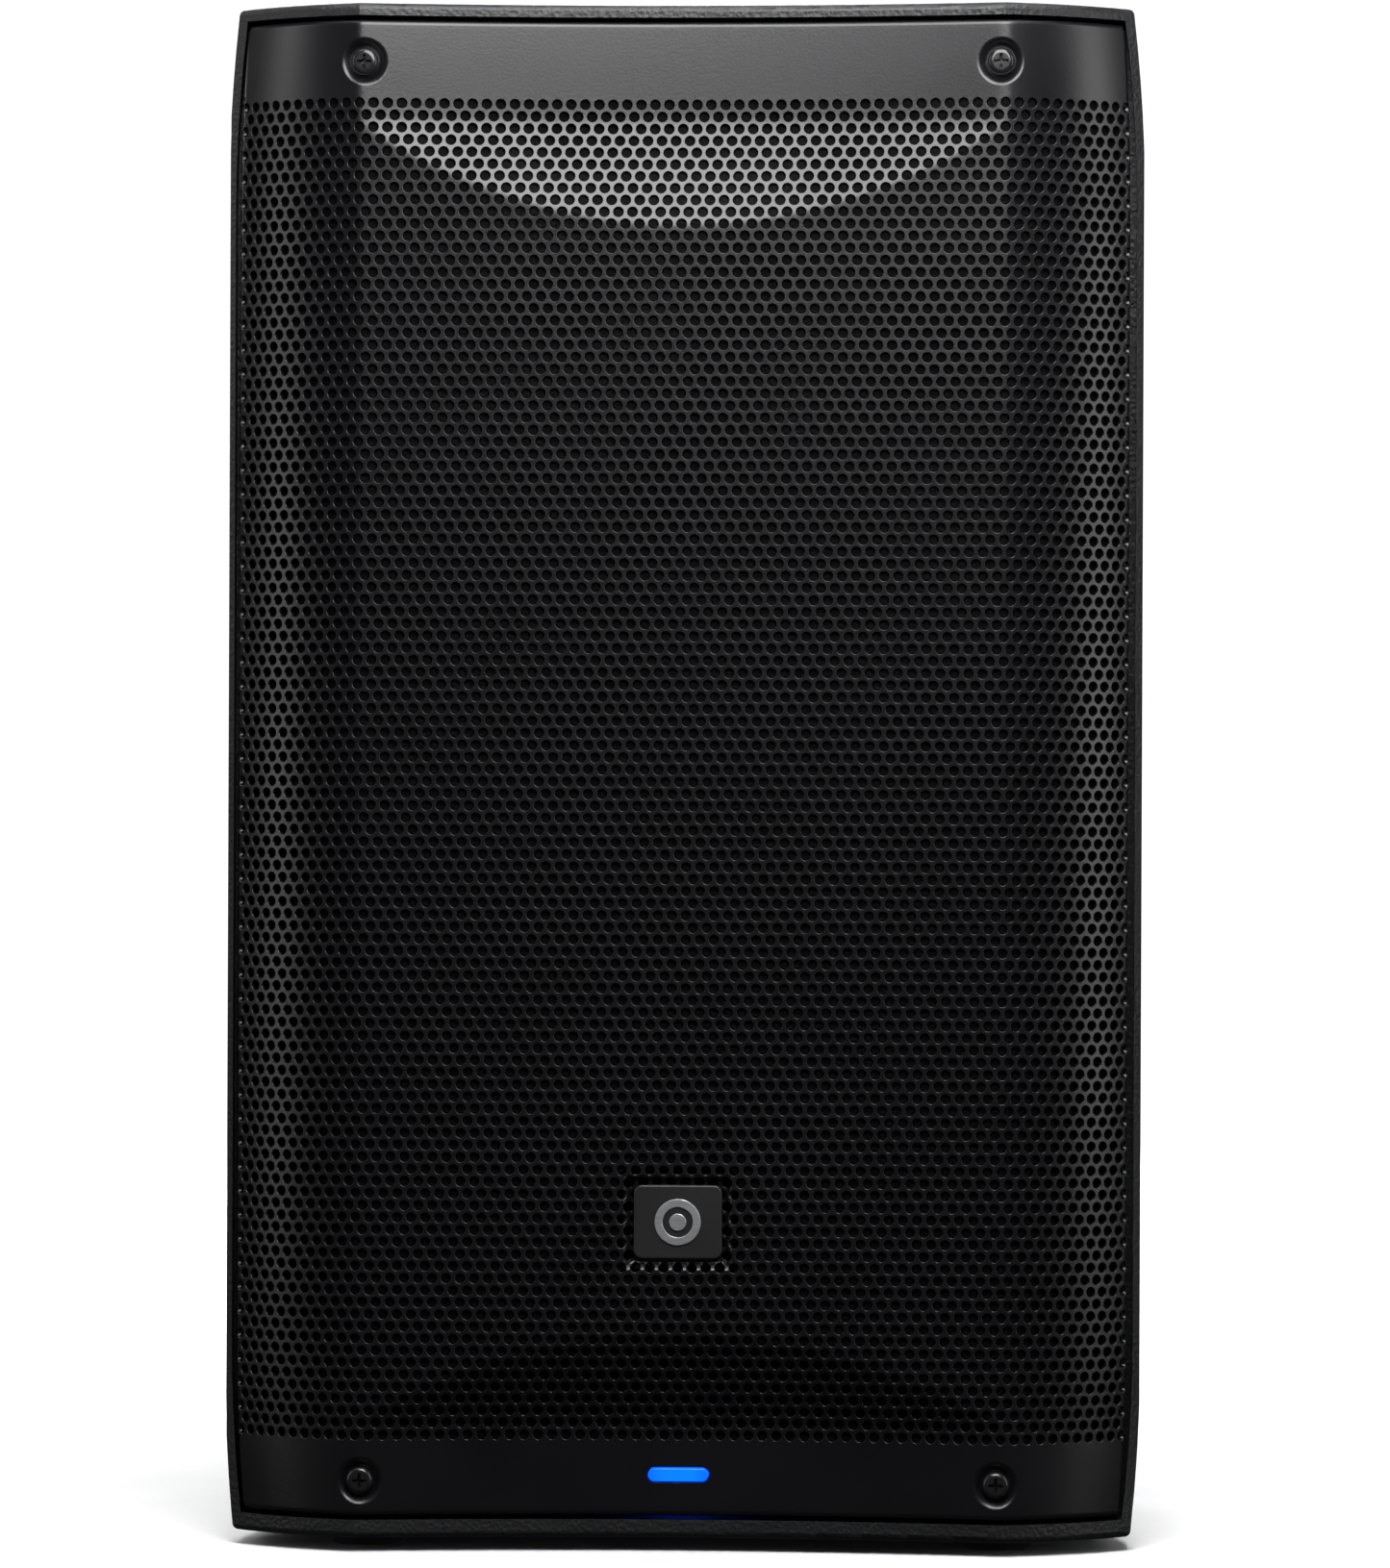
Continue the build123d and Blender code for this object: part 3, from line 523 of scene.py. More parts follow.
slotMaterials = {"blue_light": litDiffuser()}
for name, spec in finishes.items():
    made = mouldedFinish(name, spec)
    for slotName in spec["slots"]:
        slotMaterials[slotName] = made
for name, spec in metals.items():
    made = metalFinish(name, spec)
    for slotName in spec["slots"]:
        slotMaterials[slotName] = made
print("materials made", len(slotMaterials))

for part in frame["record"]["subparts"]:
    piece = nodes[part["node"]]
    piece.data.materials.clear()
    piece.data.materials.append(slotMaterials[part["material_slot"]])
    piece.data.shade_smooth()
    piece.data.set_sharp_from_angle(angle=math.radians(32))

# The perforated sheet, laid out flat as (u along the width, w up the height) and then bent. In mm.
grille = {
    "frontY": -150.0,
    "ridge": 115.0,
    "bandDepth": 11.0,
    "upperFold": 508.8,
    "upperLens": 35.7,
    "lowerFold": 46.8,
    "lowerLens": 31.5,
    "wingRadius": 101.6,
    "crease": 1.6,
    "edgeBend": 165.5,
    "edgeBendRadius": 1.5,
    "sheetEnd": 170.0,
    "top": 546.0,
    "bottom": 13.0,
    "lipRadius": 2.0,
    "lip": 4.5,
    "thick": 1.2,
    "drop": 2.2,
    "firstRow": 516.3,
    "lastRow": 41.7,
    "rows": 111,
    "pitch": 5.0,
    "holeRadius": 1.78,
    "rimRadius": 0.3,
    "screws": [(113.3, 531.0), (-113.3, 531.0), (113.3, 25.5), (-113.3, 25.5)],
    "seatY": -146.8,
    "badgeZ": 118.3,
    "badgeHalf": (19.5, 17.0),
    "badgeDepth": 3.0,
    "windowZ": 27.5,
    "windowHalf": (11.15, 2.7),
    "archHalf": 140.0,
    "foldSoft": 3.0,
    "lensSoft": 0.45,
    "dimpleFar": 8.6,
    "dimpleSlope": 3.6,
    "pinchTop": (480.0, 66.0),
    "pinchLow": (75.0, 62.0),
    "wingWidth": 44.0,
    "holesWide": 67,
    "gridStep": 1.25,
    "screwWindow": (103.75, 122.5),
    "slotWindow": (-15.0, 15.0),
    "topWindow": (522.0, 540.0),
    "lowWindow": (16.5, 34.5),
}


def softMax(a, b, k):
    return (a + b + np.sqrt((a - b) ** 2 + k * k)) / 2


def planTable(g):
    # walks along the sheet's width and turns with it: ridge crease, wing, turned-back edge
    step = 0.05
    u = np.arange(0, g["sheetEnd"] + 4, step)
    crease = np.clip((u - g["ridge"] + g["crease"]) / (2 * g["crease"]), 0, 1) * math.radians(15)
    wing = np.clip(u - g["ridge"] - g["crease"], 0, g["edgeBend"] - g["ridge"]) / g["wingRadius"]
    turn = np.clip(u - g["edgeBend"], 0, None) / g["edgeBendRadius"]
    heading = np.minimum(crease + wing + turn, math.pi / 2)
    x = np.concatenate([[0], np.cumsum(np.cos(heading[:-1]) * step)])
    y = np.concatenate([[0], np.cumsum(np.sin(heading[:-1]) * step)])
    return u, x, y


tableU, tableX, tableY = planTable(grille)


def bentPoint(u, w, g=grille):
    # (u, w) on the flat sheet to a point of the bent sheet's front face
    side = np.sign(u)
    x = np.interp(np.abs(u), tableU, tableX)
    y = np.interp(np.abs(u), tableU, tableY)
    topBend = g["top"] - g["lipRadius"]
    lowBend = g["bottom"] + g["lipRadius"]
    arc = g["lipRadius"] * math.pi / 2
    over = np.clip(w - topBend, 0, None) + np.clip(lowBend - w, 0, None)
    phi = np.clip(over / g["lipRadius"], 0, math.pi / 2)
    rise = g["lipRadius"] * np.sin(phi)
    z = np.clip(w, lowBend, topBend)
    z = z + np.where(w > topBend, rise, 0) - np.where(w < lowBend, rise, 0)
    back = g["lipRadius"] * (1 - np.cos(phi)) + np.clip(over - arc, 0, None)
    radius = (g["ridge"] ** 2 + g["bandDepth"] ** 2) / (2 * g["bandDepth"])
    hollow = g["bandDepth"] - radius + np.sqrt(radius**2 - np.minimum(x, g["archHalf"]) ** 2)
    upper = hollow - g["bandDepth"] / g["upperLens"] * softMax(g["upperFold"] - z, 0, g["foldSoft"])
    lower = hollow - g["bandDepth"] / g["lowerLens"] * softMax(z - g["lowerFold"], 0, g["foldSoft"])
    depth = softMax(0.0, np.maximum(upper, lower), g["lensSoft"])
    halfX, halfZ = g["badgeHalf"]
    inside = np.minimum(halfX - x, halfZ - np.abs(z - g["badgeZ"]))
    slope = np.clip(inside / g["badgeDepth"], 0, 1)
    depth = depth + g["badgeDepth"] * (3 * slope**2 - 2 * slope**3)
    y = g["frontY"] + y + depth
    for sx, sz in g["screws"]:
        away = np.hypot(x * side - sx, z - sz)
        blend = np.clip((g["dimpleFar"] - away) / g["dimpleSlope"], 0, 1)
        blend = 3 * blend**2 - 2 * blend**3
        y = y * (1 - blend) + g["seatY"] * blend
    topStart, topRun = g["pinchTop"]
    lowStart, lowRun = g["pinchLow"]
    pinch = np.where(z > topStart, ((z - topStart) / topRun) ** 2, 0)
    pinch = pinch + np.where(z < lowStart, ((lowStart - z) / lowRun) ** 2, 0)
    x = x - g["drop"] * pinch * np.clip((x - g["ridge"]) / g["wingWidth"], 0, 1)
    return np.stack([x * side, y + back, z], axis=-1)


def bentFrame(u, w):
    # tangents and the outward normal of the front face
    h = 0.08
    alongU = bentPoint(u + h, w) - bentPoint(u - h, w)
    alongW = bentPoint(u, w + h) - bentPoint(u, w - h)
    alongU /= np.linalg.norm(alongU, axis=-1, keepdims=True)
    alongW /= np.linalg.norm(alongW, axis=-1, keepdims=True)
    normal = np.cross(alongU, alongW)
    normal /= np.linalg.norm(normal, axis=-1, keepdims=True)
    return alongU, alongW, normal


class Sheet:
    # collects the flat sheet's corners as (u, w, depth, kind, direction) and its faces
    def __init__(self):
        self.corners = []
        self.faces = []
        self.count = 0

    def add(self, u, w, depth, kind=0.0, angle=0.0):
        u, w, depth, kind, angle = np.broadcast_arrays(u, w, depth, kind, angle)
        block = np.stack([u, w, depth, kind, angle], axis=-1).reshape(-1, 5).astype(float)
        start = self.count
        self.corners.append(block)
        self.count += len(block)
        return (start + np.arange(len(block))).reshape(u.shape)

    def quads(self, a, b, c, d):
        self.faces.append(np.stack([a, b, c, d], axis=-1).reshape(-1, 4))


def ringQuads(sheet, outer, inner):
    # quads between two rings of the same length, which run anticlockwise seen from the front
    sheet.quads(outer, np.roll(outer, -1, axis=-1), np.roll(inner, -1, axis=-1), inner)


def hexRing(g):
    # the directions of a cell's twelve ring points, and the hexagon's offsets along u and w
    turns = np.radians(30 * np.arange(12))
    corner = g["pitch"] / math.sqrt(3)
    reach = np.where(np.arange(12) % 2 == 1, corner, g["pitch"] / 2)
    squeeze = g["rowPitch"] / (g["pitch"] * math.sqrt(3) / 2)
    return turns, reach * np.cos(turns), reach * np.sin(turns) * squeeze


def holeCells(sheet, centreU, centreW, g):
    # hexagonal cells with a punched hole: flat web, rolled rim, wall and back
    turns, offsetU, offsetW = hexRing(g)
    cu, cw = centreU[:, None], centreW[:, None]
    angle = np.broadcast_to(turns, (len(centreU), 12))
    rim = g["holeRadius"] + g["rimRadius"]
    edgeU = cu + offsetU
    edgeW = cw + offsetW
    thick = g["thick"]
    web = sheet.add(edgeU, edgeW, 0.0)
    outer = sheet.add(cu + rim * np.cos(turns), cw + rim * np.sin(turns), 0.0)
    wallU = cu + g["holeRadius"] * np.cos(turns)
    wallW = cw + g["holeRadius"] * np.sin(turns)
    lipRing = sheet.add(wallU, wallW, g["rimRadius"], 1.0, angle)
    wallEnd = sheet.add(wallU, wallW, thick, 1.0, angle)
    backWeb = sheet.add(edgeU, edgeW, thick, 2.0)
    ringQuads(sheet, web, outer)
    ringQuads(sheet, outer, lipRing)
    ringQuads(sheet, lipRing, wallEnd)
    ringQuads(sheet, wallEnd, backWeb)


def plainCells(sheet, centreU, centreW, g):
    # cells at the border of the pattern, cut straight at the plain bands and at the sheet's end
    _, offsetU, offsetW = hexRing(g)
    topLine = g["firstRow"] + g["rowPitch"]
    lowLine = g["lastRow"] - g["rowPitch"]
    edgeU = np.clip(centreU[:, None] + offsetU, -g["sheetEnd"], g["sheetEnd"])
    edgeW = np.clip(centreW[:, None] + offsetW, lowLine, topLine)
    midU = edgeU.mean(axis=1)
    midW = edgeW.mean(axis=1)
    for depth, kind in ((0.0, 0.0), (g["thick"], 2.0)):
        web = sheet.add(edgeU, edgeW, depth, kind)
        middle = sheet.add(midU, midW, depth, kind)
        middle = np.broadcast_to(middle[:, None], web.shape)
        following = np.roll(web, -1, axis=-1)
        if kind:
            sheet.quads(middle, following, web, web)
        else:
            sheet.quads(middle, web, following, following)


def bandGrid(sheet, linesU, linesW, windows, g):
    # plain bands as a grid, left open where a window's own rings go and at the notched corners
    gridU, gridW = np.meshgrid(linesU, linesW, indexing="ij")
    keep = np.ones((len(linesU) - 1, len(linesW) - 1), bool)
    midU = (linesU[:-1] + linesU[1:])[:, None] / 2
    midW = (linesW[:-1] + linesW[1:])[None, :] / 2
    for lowU, highU, lowW, highW in windows:
        keep &= ~((midU > lowU) & (midU < highU) & (midW > lowW) & (midW < highW))
    topBend = g["top"] - g["lipRadius"]
    lowBend = g["bottom"] + g["lipRadius"]
    keep &= ~((np.abs(midU) > g["edgeBend"] - 0.6) & ((midW > topBend) | (midW < lowBend)))
    for depth, kind in ((0.0, 0.0), (g["thick"], 2.0)):
        index = sheet.add(gridU, gridW, depth, kind)
        a, b = index[:-1, :-1][keep], index[1:, :-1][keep]
        c, d = index[1:, 1:][keep], index[:-1, 1:][keep]
        if kind:
            sheet.quads(d, c, b, a)
        else:
            sheet.quads(a, b, c, d)


def windowRings(sheet, linesU, linesW, window, outline, steps, g):
    # rings from a rectangle of the grid down to an opening; outline(angle, grow) gives its (u, w)
    lowU, highU, lowW, highW = window
    acrossU = linesU[(linesU >= lowU - 1e-6) & (linesU <= highU + 1e-6)]
    acrossW = linesW[(linesW >= lowW - 1e-6) & (linesW <= highW + 1e-6)]
    border = [(u, lowW) for u in acrossU[:-1]] + [(highU, w) for w in acrossW[:-1]]
    border += [(u, highW) for u in acrossU[:0:-1]] + [(lowU, w) for w in acrossW[:0:-1]]
    border = np.array(border)
    centreU, centreW = outline(None, 0)
    angle = np.arctan2(border[:, 1] - centreW, border[:, 0] - centreU)
    loops = [border] + [outline(angle, grow) for grow in steps]
    for first, second in zip(loops[:-1], loops[1:]):
        for depth, kind in ((0.0, 0.0), (g["thick"], 2.0)):
            a = sheet.add(first[:, 0], first[:, 1], depth, kind)
            b = sheet.add(second[:, 0], second[:, 1], depth, kind)
            if kind:
                ringQuads(sheet, b, a)
            else:
                ringQuads(sheet, a, b)
    last = loops[-1]
    edge = outline(angle, steps[-1] - g["rimRadius"])
    top = sheet.add(last[:, 0], last[:, 1], 0.0)
    lipRing = sheet.add(edge[:, 0], edge[:, 1], g["rimRadius"], 1.0, angle)
    wallEnd = sheet.add(edge[:, 0], edge[:, 1], g["thick"], 1.0, angle)
    under = sheet.add(last[:, 0], last[:, 1], g["thick"], 2.0)
    ringQuads(sheet, top, lipRing)
    ringQuads(sheet, lipRing, wallEnd)
    ringQuads(sheet, wallEnd, under)


def roundOutline(centreU, centreW):
    def outline(angle, grow):
        if angle is None:
            return centreU, centreW
        return np.stack([centreU + grow * np.cos(angle), centreW + grow * np.sin(angle)], axis=-1)

    return outline


def slotOutline(centreU, centreW, halfLong, halfHigh):
    def outline(angle, grow):
        if angle is None:
            return centreU, centreW
        low, high = np.zeros_like(angle), np.full_like(angle, 40.0)
        for _ in range(40):
            reach = (low + high) / 2
            overU = np.clip(np.abs(reach * np.cos(angle)) - (halfLong - halfHigh), 0, None)
            outside = np.hypot(overU, reach * np.sin(angle)) > halfHigh + grow
            high = np.where(outside, reach, high)
            low = np.where(outside, low, reach)
        return np.stack([centreU + low * np.cos(angle), centreW + low * np.sin(angle)], axis=-1)

    return outline


def buildGrille(g):
    sheet = Sheet()
    g["rowPitch"] = (g["firstRow"] - g["lastRow"]) / (g["rows"] - 1)
    holeU, holeW, plainU, plainW = [], [], [], []
    for row in range(-1, g["rows"] + 1):
        w = g["firstRow"] - row * g["rowPitch"]
        count = g["holesWide"] - row % 2
        inner = (np.arange(count) - (count - 1) / 2) * g["pitch"]
        outer = np.array([-1, 1]) * (count + 1) / 2 * g["pitch"]
        if row in (-1, g["rows"]):
            outer = np.concatenate([inner, outer])
            inner = inner[:0]
        holeU.append(inner)
        holeW.append(np.full(len(inner), w))
        plainU.append(outer)
        plainW.append(np.full(len(outer), w))
    holeCells(sheet, np.concatenate(holeU), np.concatenate(holeW), g)
    plainCells(sheet, np.concatenate(plainU), np.concatenate(plainW), g)

    linesU = np.arange(-136, 137) * g["gridStep"]
    arc = g["lipRadius"] * math.pi / 2
    bend = np.linspace(0, arc, 6)[1:]
    topBend = g["top"] - g["lipRadius"]
    lowBend = g["bottom"] + g["lipRadius"]
    topLines = [[g["firstRow"] + g["rowPitch"]], np.linspace(*g["topWindow"], 15)]
    topLines += [[541.3, 542.7, topBend]]
    topLines += [topBend + bend, [topBend + arc + 2, topBend + arc + g["lip"]]]
    lowLines = [[lowBend - arc - g["lip"], lowBend - arc - 2], (lowBend - bend)[::-1], [lowBend]]
    lowLines += [np.linspace(*g["lowWindow"], 15), [36, g["lastRow"] - g["rowPitch"]]]
    topLines, lowLines = np.concatenate(topLines), np.concatenate(lowLines)
    right = g["screwWindow"]
    left = (-right[1], -right[0])
    topWindows = [(*span, *g["topWindow"]) for span in (right, left)]
    lowWindows = [(*span, *g["lowWindow"]) for span in (right, left, g["slotWindow"])]
    bandGrid(sheet, linesU, topLines, topWindows, g)
    bandGrid(sheet, linesU, lowLines, lowWindows, g)
    cone = [8.8, 8.2, 7.6, 7.0, 6.4, 5.8, 5.2, 4.4, 3.0]
    for spot, window in zip(g["screws"][:2], topWindows):
        windowRings(sheet, linesU, topLines, window, roundOutline(*spot), cone, g)
    for spot, window in zip(g["screws"][2:], lowWindows):
        windowRings(sheet, linesU, lowLines, window, roundOutline(*spot), cone, g)
    slotShape = slotOutline(0.0, g["windowZ"], *g["windowHalf"])
    windowRings(sheet, linesU, lowLines, lowWindows[2], slotShape, [3.4, 2.0, 1.0, 0.3], g)

    corners = np.concatenate(sheet.corners)
    faces = np.concatenate(sheet.faces)
    perMm = 200  # corners closer than 0.005 mm are one
    key = np.round(corners[:, :3] * perMm).astype(np.int64)
    _, first, where = np.unique(key, axis=0, return_index=True, return_inverse=True)
    corners = corners[first]
    faces = where.reshape(-1)[faces]

    # close the sheet's outer edge between front and back
    looped = np.stack([faces, np.roll(faces, -1, axis=1)], axis=-1).reshape(-1, 2)
    looped = looped[looped[:, 0] != looped[:, 1]]
    order = np.sort(looped, axis=1)
    _, seen, counts = np.unique(order, axis=0, return_index=True, return_counts=True)
    rim = looped[seen[counts == 1]]
    rim = rim[(corners[rim[:, 0], 2] == 0) & (corners[rim[:, 1], 2] == 0)]
    keys = np.round(corners[:, :3] * perMm).astype(np.int64).tolist()
    lookup = {tuple(k): i for i, k in enumerate(keys)}
    deep = int(round(g["thick"] * perMm))
    extra = []
    for a, b in rim.tolist():
        ka, kb = (np.round(corners[i, :2] * perMm).astype(int).tolist() for i in (a, b))
        under = (lookup.get((*kb, deep)), lookup.get((*ka, deep)))
        if None not in under:
            extra.append((b, a, under[1], under[0]))
    faces = np.concatenate([faces, np.array(extra, dtype=faces.dtype)])
    used, faces = np.unique(faces, return_inverse=True)  # drops the corners of the notches
    corners = corners[used]
    faces = faces.reshape(-1, 4)

    u, w, depth, kind, angle = corners.T
    alongU, alongW, normal = bentFrame(u, w)
    points = bentPoint(u, w) - normal * depth[:, None]
    inward = -(np.cos(angle)[:, None] * alongU + np.sin(angle)[:, None] * alongW)
    outward = np.where((kind == 2)[:, None], -normal, normal)
    shading = np.where((kind == 1)[:, None], inward, outward)
    polygons = [list(dict.fromkeys(f)) for f in faces.tolist()]
    polygons = [f for f in polygons if len(f) > 2]
    mesh = bpy.data.meshes.new("grilleSheet")
    mesh.from_pydata((points * mm).tolist(), [], polygons)
    mesh.shade_smooth()
    mesh.normals_split_custom_set_from_vertices(shading.tolist())
    mesh.update()
    sheetObject = bpy.data.objects.new("grille_sheet", mesh)
    bpy.context.scene.collection.objects.link(sheetObject)
    return sheetObject


grilleSheet = buildGrille(grille)
grilleSheet.data.materials.append(slotMaterials["grille_paint"])
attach(grilleSheet, "cabinet")
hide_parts("grille")
print("grille sheet", len(grilleSheet.data.polygons), "faces")

# Screen-printed scales and frames on the rear panel, as a thin raised layer of ink. All in mm.
panelPrint = {
    "faceY": 128.0,
    "thick": 0.08,
    "knobs": [(62.0, 345.0, 11.4), (20.0, 345.0, 11.4), (-22.0, 345.0, 13.2)],
    "ticks": 11,
    "sweep": 150.0,
    "tickLong": 2.4,
    "tickWide": 0.6,
    "frames": [(62.0, 362.0, 19.0, 60.0), (20.0, 362.0, 19.0, 60.0), (-22.0, 362.0, 16.5, 60.0)],
    "frameRound": 4.0,
    "lineWide": 0.5,
    "buttons": [(62.0, 305.6), (20.0, 305.6), (-22.0, 305.6)],
    "underline": (4.0, 0.35),
    "arrows": [(62.0, 373.0), (20.0, 373.0), (-22.0, 373.0)],
}


def inkPolygon(points, g, store):
    # a flat closed outline in (x, z) raised by the ink's thickness, facing the back of the cabinet
    pairs = zip(points, points[1:] + points[:1])
    if sum(a[0] * b[1] - b[0] * a[1] for a, b in pairs) > 0:
        points = points[::-1]
    start = len(store[0])
    count = len(points)
    store[0].extend([(x, g["faceY"] + g["thick"], z) for x, z in points])
    store[0].extend([(x, g["faceY"], z) for x, z in points])
    store[1].append(tuple(start + i for i in range(count)))
    store[1].append(tuple(start + count + i for i in reversed(range(count))))
    for i in range(count):
        j = (i + 1) % count
        store[1].append((start + i, start + count + i, start + count + j, start + j))


def inkBar(x, z, halfLong, halfWide, angle, g, store):
    along = (math.cos(angle) * halfLong, math.sin(angle) * halfLong)
    side = (-math.sin(angle) * halfWide, math.cos(angle) * halfWide)
    signs = [(1, 1), (1, -1), (-1, -1), (-1, 1)]
    points = [(x + a * along[0] + b * side[0], z + a * along[1] + b * side[1]) for a, b in signs]
    inkPolygon(points, g, store)


def inkFrame(x, z, halfX, halfZ, g, store):
    # a rounded frame drawn as short straight strokes
    r, w = g["frameRound"], g["lineWide"]
    loop = []
    for quarter, (sx, sz) in enumerate([(1, 1), (-1, 1), (-1, -1), (1, -1)]):
        for step in range(7):
            turn = math.radians(90 * quarter + 15 * step)
            centre = (x + sx * (halfX - r), z + sz * (halfZ - r))
            loop.append((*centre, math.cos(turn), math.sin(turn)))
    for a, b in zip(loop, loop[1:] + loop[:1]):
        outer = [(cx + nx * r, cz + nz * r) for cx, cz, nx, nz in (a, b)]
        inner = [(cx + nx * (r - w), cz + nz * (r - w)) for cx, cz, nx, nz in (b, a)]
        inkPolygon([outer[0], inner[1], inner[0], outer[1]], g, store)


def buildPanelPrint(g):
    store = ([], [])
    for x, z, reach in g["knobs"]:
        for k in range(g["ticks"]):
            angle = math.radians(90 + g["sweep"] - 2 * g["sweep"] * k / (g["ticks"] - 1))
            middle = reach + g["tickLong"] / 2
            spot = (x + middle * math.cos(angle), z + middle * math.sin(angle))
            inkBar(*spot, g["tickLong"] / 2, g["tickWide"] / 2, angle, g, store)
    for x, z, halfX, halfZ in g["frames"]:
        inkFrame(x, z, halfX, halfZ, g, store)
    for x, z in g["buttons"]:
        inkBar(x, z, *g["underline"], 0.0, g, store)
    for x, z in g["arrows"]:
        inkPolygon([(x - 2.2, z + 1.4), (x + 2.2, z + 1.4), (x, z - 1.6)], g, store)
    mesh = bpy.data.meshes.new("panelPrint")
    mesh.from_pydata([tuple(c * mm for c in v) for v in store[0]], [], store[1])
    mesh.update()
    thing = bpy.data.objects.new("panel_print", mesh)
    bpy.context.scene.collection.objects.link(thing)
    return thing


# epoxy ink, screen-printed: pale grey, matt, slightly uneven
inkSpec = {
    "dark": "#b9bbbd",
    "light": "#d6d8d9",
    "rough": (0.5, 0.65),
    "grain": 0.5,
    "grainDepth": 0.01,
    "fine": 0.2,
    "fineDepth": 0.005,
}
panelInk = buildPanelPrint(panelPrint)
panelInk.data.materials.append(mouldedFinish("screenPrintedEpoxyInk", inkSpec))
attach(panelInk, "cabinet")
print("panel print", len(panelInk.data.polygons), "faces")

# Studio: a low softbox close in front of the top edge, side strips, and a white surround
studio = {
    "floorDark": "#ededee",
    "floorLight": "#f6f6f7",
    "floorCloud": 60.0,
    "glowFrom": 0.3,
    "glowTo": 0.8,
    "reach": 6.0,
    "wallLow": -0.2,
    "wallHigh": 7.0,
    "surround": 1.15,
    "world": 0.045,
    "lights": [
        # name, place, aim, width, height, watts
        ("browSoftbox", (0.1, -0.6, 0.845), (0.04, -0.12, 0.455), 0.48, 0.55, 9.5),
        ("overheadSoftbox", (0.0, -0.2, 2.3), (0, 0.0, 0.3), 2.0, 1.2, 26),
        ("leftStrip", (-1.7, -0.7, 0.75), (0, -0.1, 0.3), 0.4, 1.5, 5),
        ("rightStrip", (1.7, -0.7, 0.75), (0, -0.1, 0.3), 0.4, 1.5, 8),
        ("backSoftbox", (-0.3, 2.2, 1.2), (0, 0.15, 0.3), 1.3, 1.3, 75),
        ("sideWash", (-2.0, 1.1, 1.3), (0, 0.1, 0.3), 1.2, 1.2, 9),
    ],
}


def lookAt(eye, aim):
    return (Vector(aim) - Vector(eye)).to_track_quat("-Z", "Y").to_euler()


for name, place, aim, wide, high, watts in studio["lights"]:
    lamp = bpy.data.lights.new(name, "AREA")
    lamp.shape = "RECTANGLE"
    lamp.size, lamp.size_y, lamp.energy = wide, high, watts
    holder = bpy.data.objects.new(name, lamp)
    holder.location = place
    holder.rotation_euler = lookAt(place, aim)
    bpy.context.scene.collection.objects.link(holder)


def stagePiece(name, corners, faces, material):
    # white surroundings that the eye sees but that add no light to the object
    mesh = bpy.data.meshes.new(name)
    mesh.from_pydata(corners, [], faces)
    mesh.materials.append(material)
    thing = bpy.data.objects.new(name, mesh)
    bpy.context.scene.collection.objects.link(thing)
    thing.visible_diffuse = False
    thing.visible_glossy = False
    thing.visible_shadow = False
    return thing


# painted paper sweep: off-white, lit by the lamps near the object and glowing evenly further out
floorMaterial, floorTree = newMaterial("paintedPaperSweep")
floorPlace = addNode(floorTree, "ShaderNodeTexCoord").outputs["Object"]
floorGrain = addNode(
    floorTree,
    "ShaderNodeTexNoise",
    {"Scale": 1 / (studio["floorCloud"] * mm)},
    {"Vector": floorPlace},
)
floorTone = addNode(
    floorTree,
    "ShaderNodeMix",
    {"data_type": "RGBA"},
    {"Factor": floorGrain.outputs["Fac"]},
)
floorTone.inputs[6].default_value = toLinear(studio["floorDark"])
floorTone.inputs[7].default_value = toLinear(studio["floorLight"])
floorReach = addNode(floorTree, "ShaderNodeVectorMath", {"operation": "LENGTH"}, {0: floorPlace})
floorGlow = addNode(
    floorTree,
    "ShaderNodeMapRange",
    {
        "From Min": studio["glowFrom"],
        "From Max": studio["glowTo"],
        "To Min": 0.0,
        "To Max": studio["surround"],
    },
    {"Value": floorReach.outputs["Value"]},
)
floorShader = addNode(
    floorTree,
    "ShaderNodeBsdfPrincipled",
    {"Roughness": 0.9, "Specular IOR Level": 0.0, "Emission Color": toLinear("#ffffff")},
    {"Base Color": floorTone.outputs[2], "Emission Strength": floorGlow.outputs[0]},
)
addNode(floorTree, "ShaderNodeOutputMaterial", {}, {"Surface": floorShader.outputs[0]})
reach = studio["reach"]
floorCorners = [(-reach, -reach, 0), (reach, -reach, 0), (reach, reach, 0), (-reach, reach, 0)]
floor = stagePiece("floor", floorCorners, [(0, 1, 2, 3)], floorMaterial)

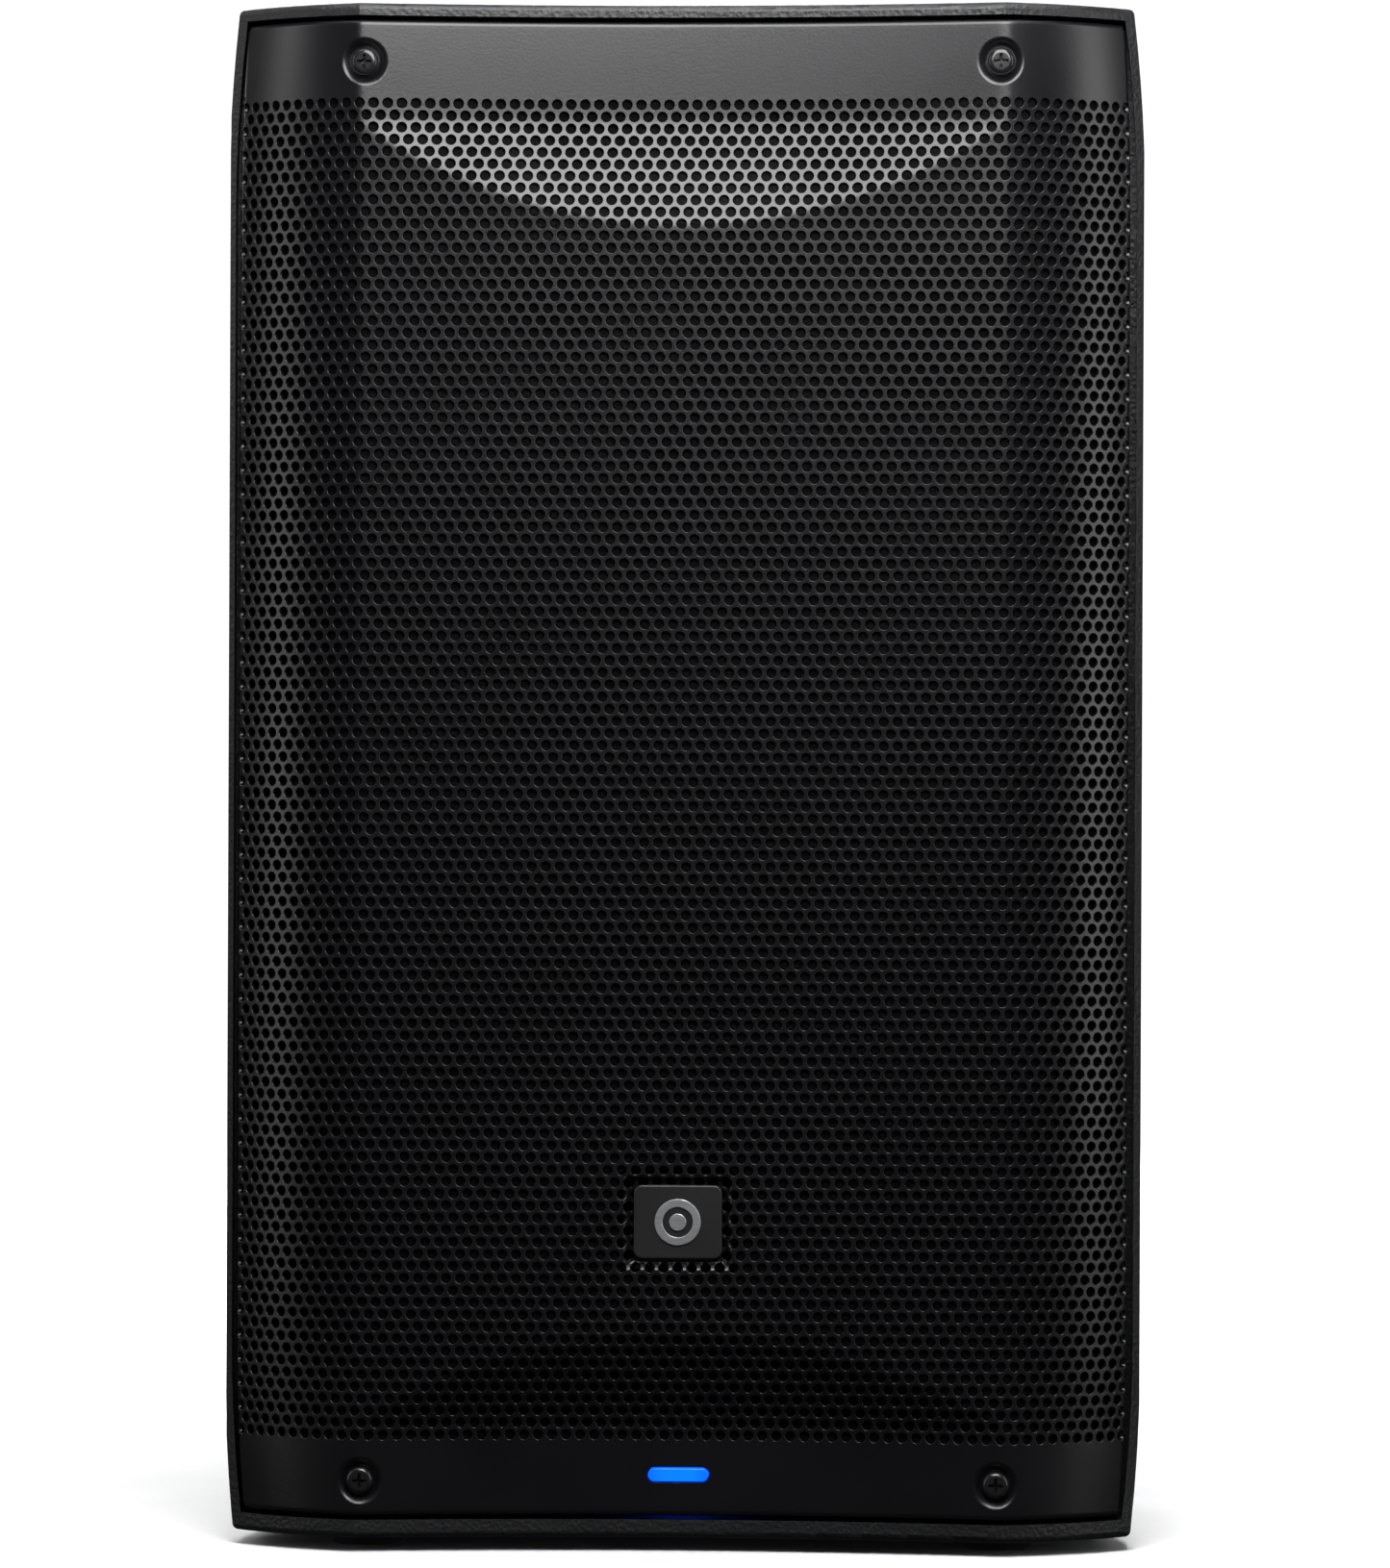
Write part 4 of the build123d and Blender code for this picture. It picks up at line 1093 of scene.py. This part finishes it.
# white cloth surround, evenly lit
clothMaterial, clothTree = newMaterial("litClothSurround")
clothGlow = addNode(
    clothTree,
    "ShaderNodeEmission",
    {"Color": toLinear("#ffffff"), "Strength": studio["surround"]},
)
addNode(clothTree, "ShaderNodeOutputMaterial", {}, {"Surface": clothGlow.outputs[0]})
turns = [math.radians(t) for t in range(0, 360, 15)]
posts = [(reach * math.cos(t), reach * math.sin(t)) for t in turns]
wallCorners = [(x, y, studio["wallLow"]) for x, y in posts]
wallCorners += [(x, y, studio["wallHigh"]) for x, y in posts]
wallCorners.append((0, 0, studio["wallHigh"]))
total = len(posts)
wallFaces = [(i, (i + 1) % total, total + (i + 1) % total, total + i) for i in range(total)]
wallFaces += [(total + i, total + (i + 1) % total, 2 * total) for i in range(total)]
surround = stagePiece("surround", wallCorners, wallFaces, clothMaterial)

world = bpy.data.worlds.new("studioAir")
world.use_nodes = True
world.node_tree.nodes["Background"].inputs[0].default_value = (1, 1, 1, 1)
world.node_tree.nodes["Background"].inputs[1].default_value = studio["world"]
bpy.context.scene.world = world
bpy.context.scene.view_settings.view_transform = "Standard"
bpy.context.scene.view_settings.look = "None"
print("studio set")

# Camera: a long lens a little to the right of the front, level with the middle.
camera = {
    "distance": 2.6,
    "azimuth": 2.8,
    "height": 0.2775,
    "lens": 168.0,
    "roll": 0.22,
    "aimRight": 0.0056,
    "aimDown": 0.0034,
    "pivot": (0.0, -0.150, 0.2775),
}
turn = math.radians(camera["azimuth"])
pivot = Vector(camera["pivot"])
eye = pivot + Vector((math.sin(turn), -math.cos(turn), 0)) * camera["distance"]
eye.z = camera["height"]
right = Vector((math.cos(turn), math.sin(turn), 0))
aim = pivot + right * camera["aimRight"] - Vector((0, 0, camera["aimDown"]))
lens = bpy.data.cameras.new("camera")
lens.sensor_fit = "VERTICAL"
lens.sensor_height = 36
lens.lens = camera["lens"]
lens.clip_end = 50
viewer = bpy.data.objects.new("camera", lens)
viewer.location = eye
facing = (aim - eye).to_track_quat("-Z", "Y").to_matrix()
viewer.rotation_euler = (facing @ Matrix.Rotation(math.radians(camera["roll"]), 3, "Z")).to_euler()
bpy.context.scene.collection.objects.link(viewer)
bpy.context.scene.camera = viewer
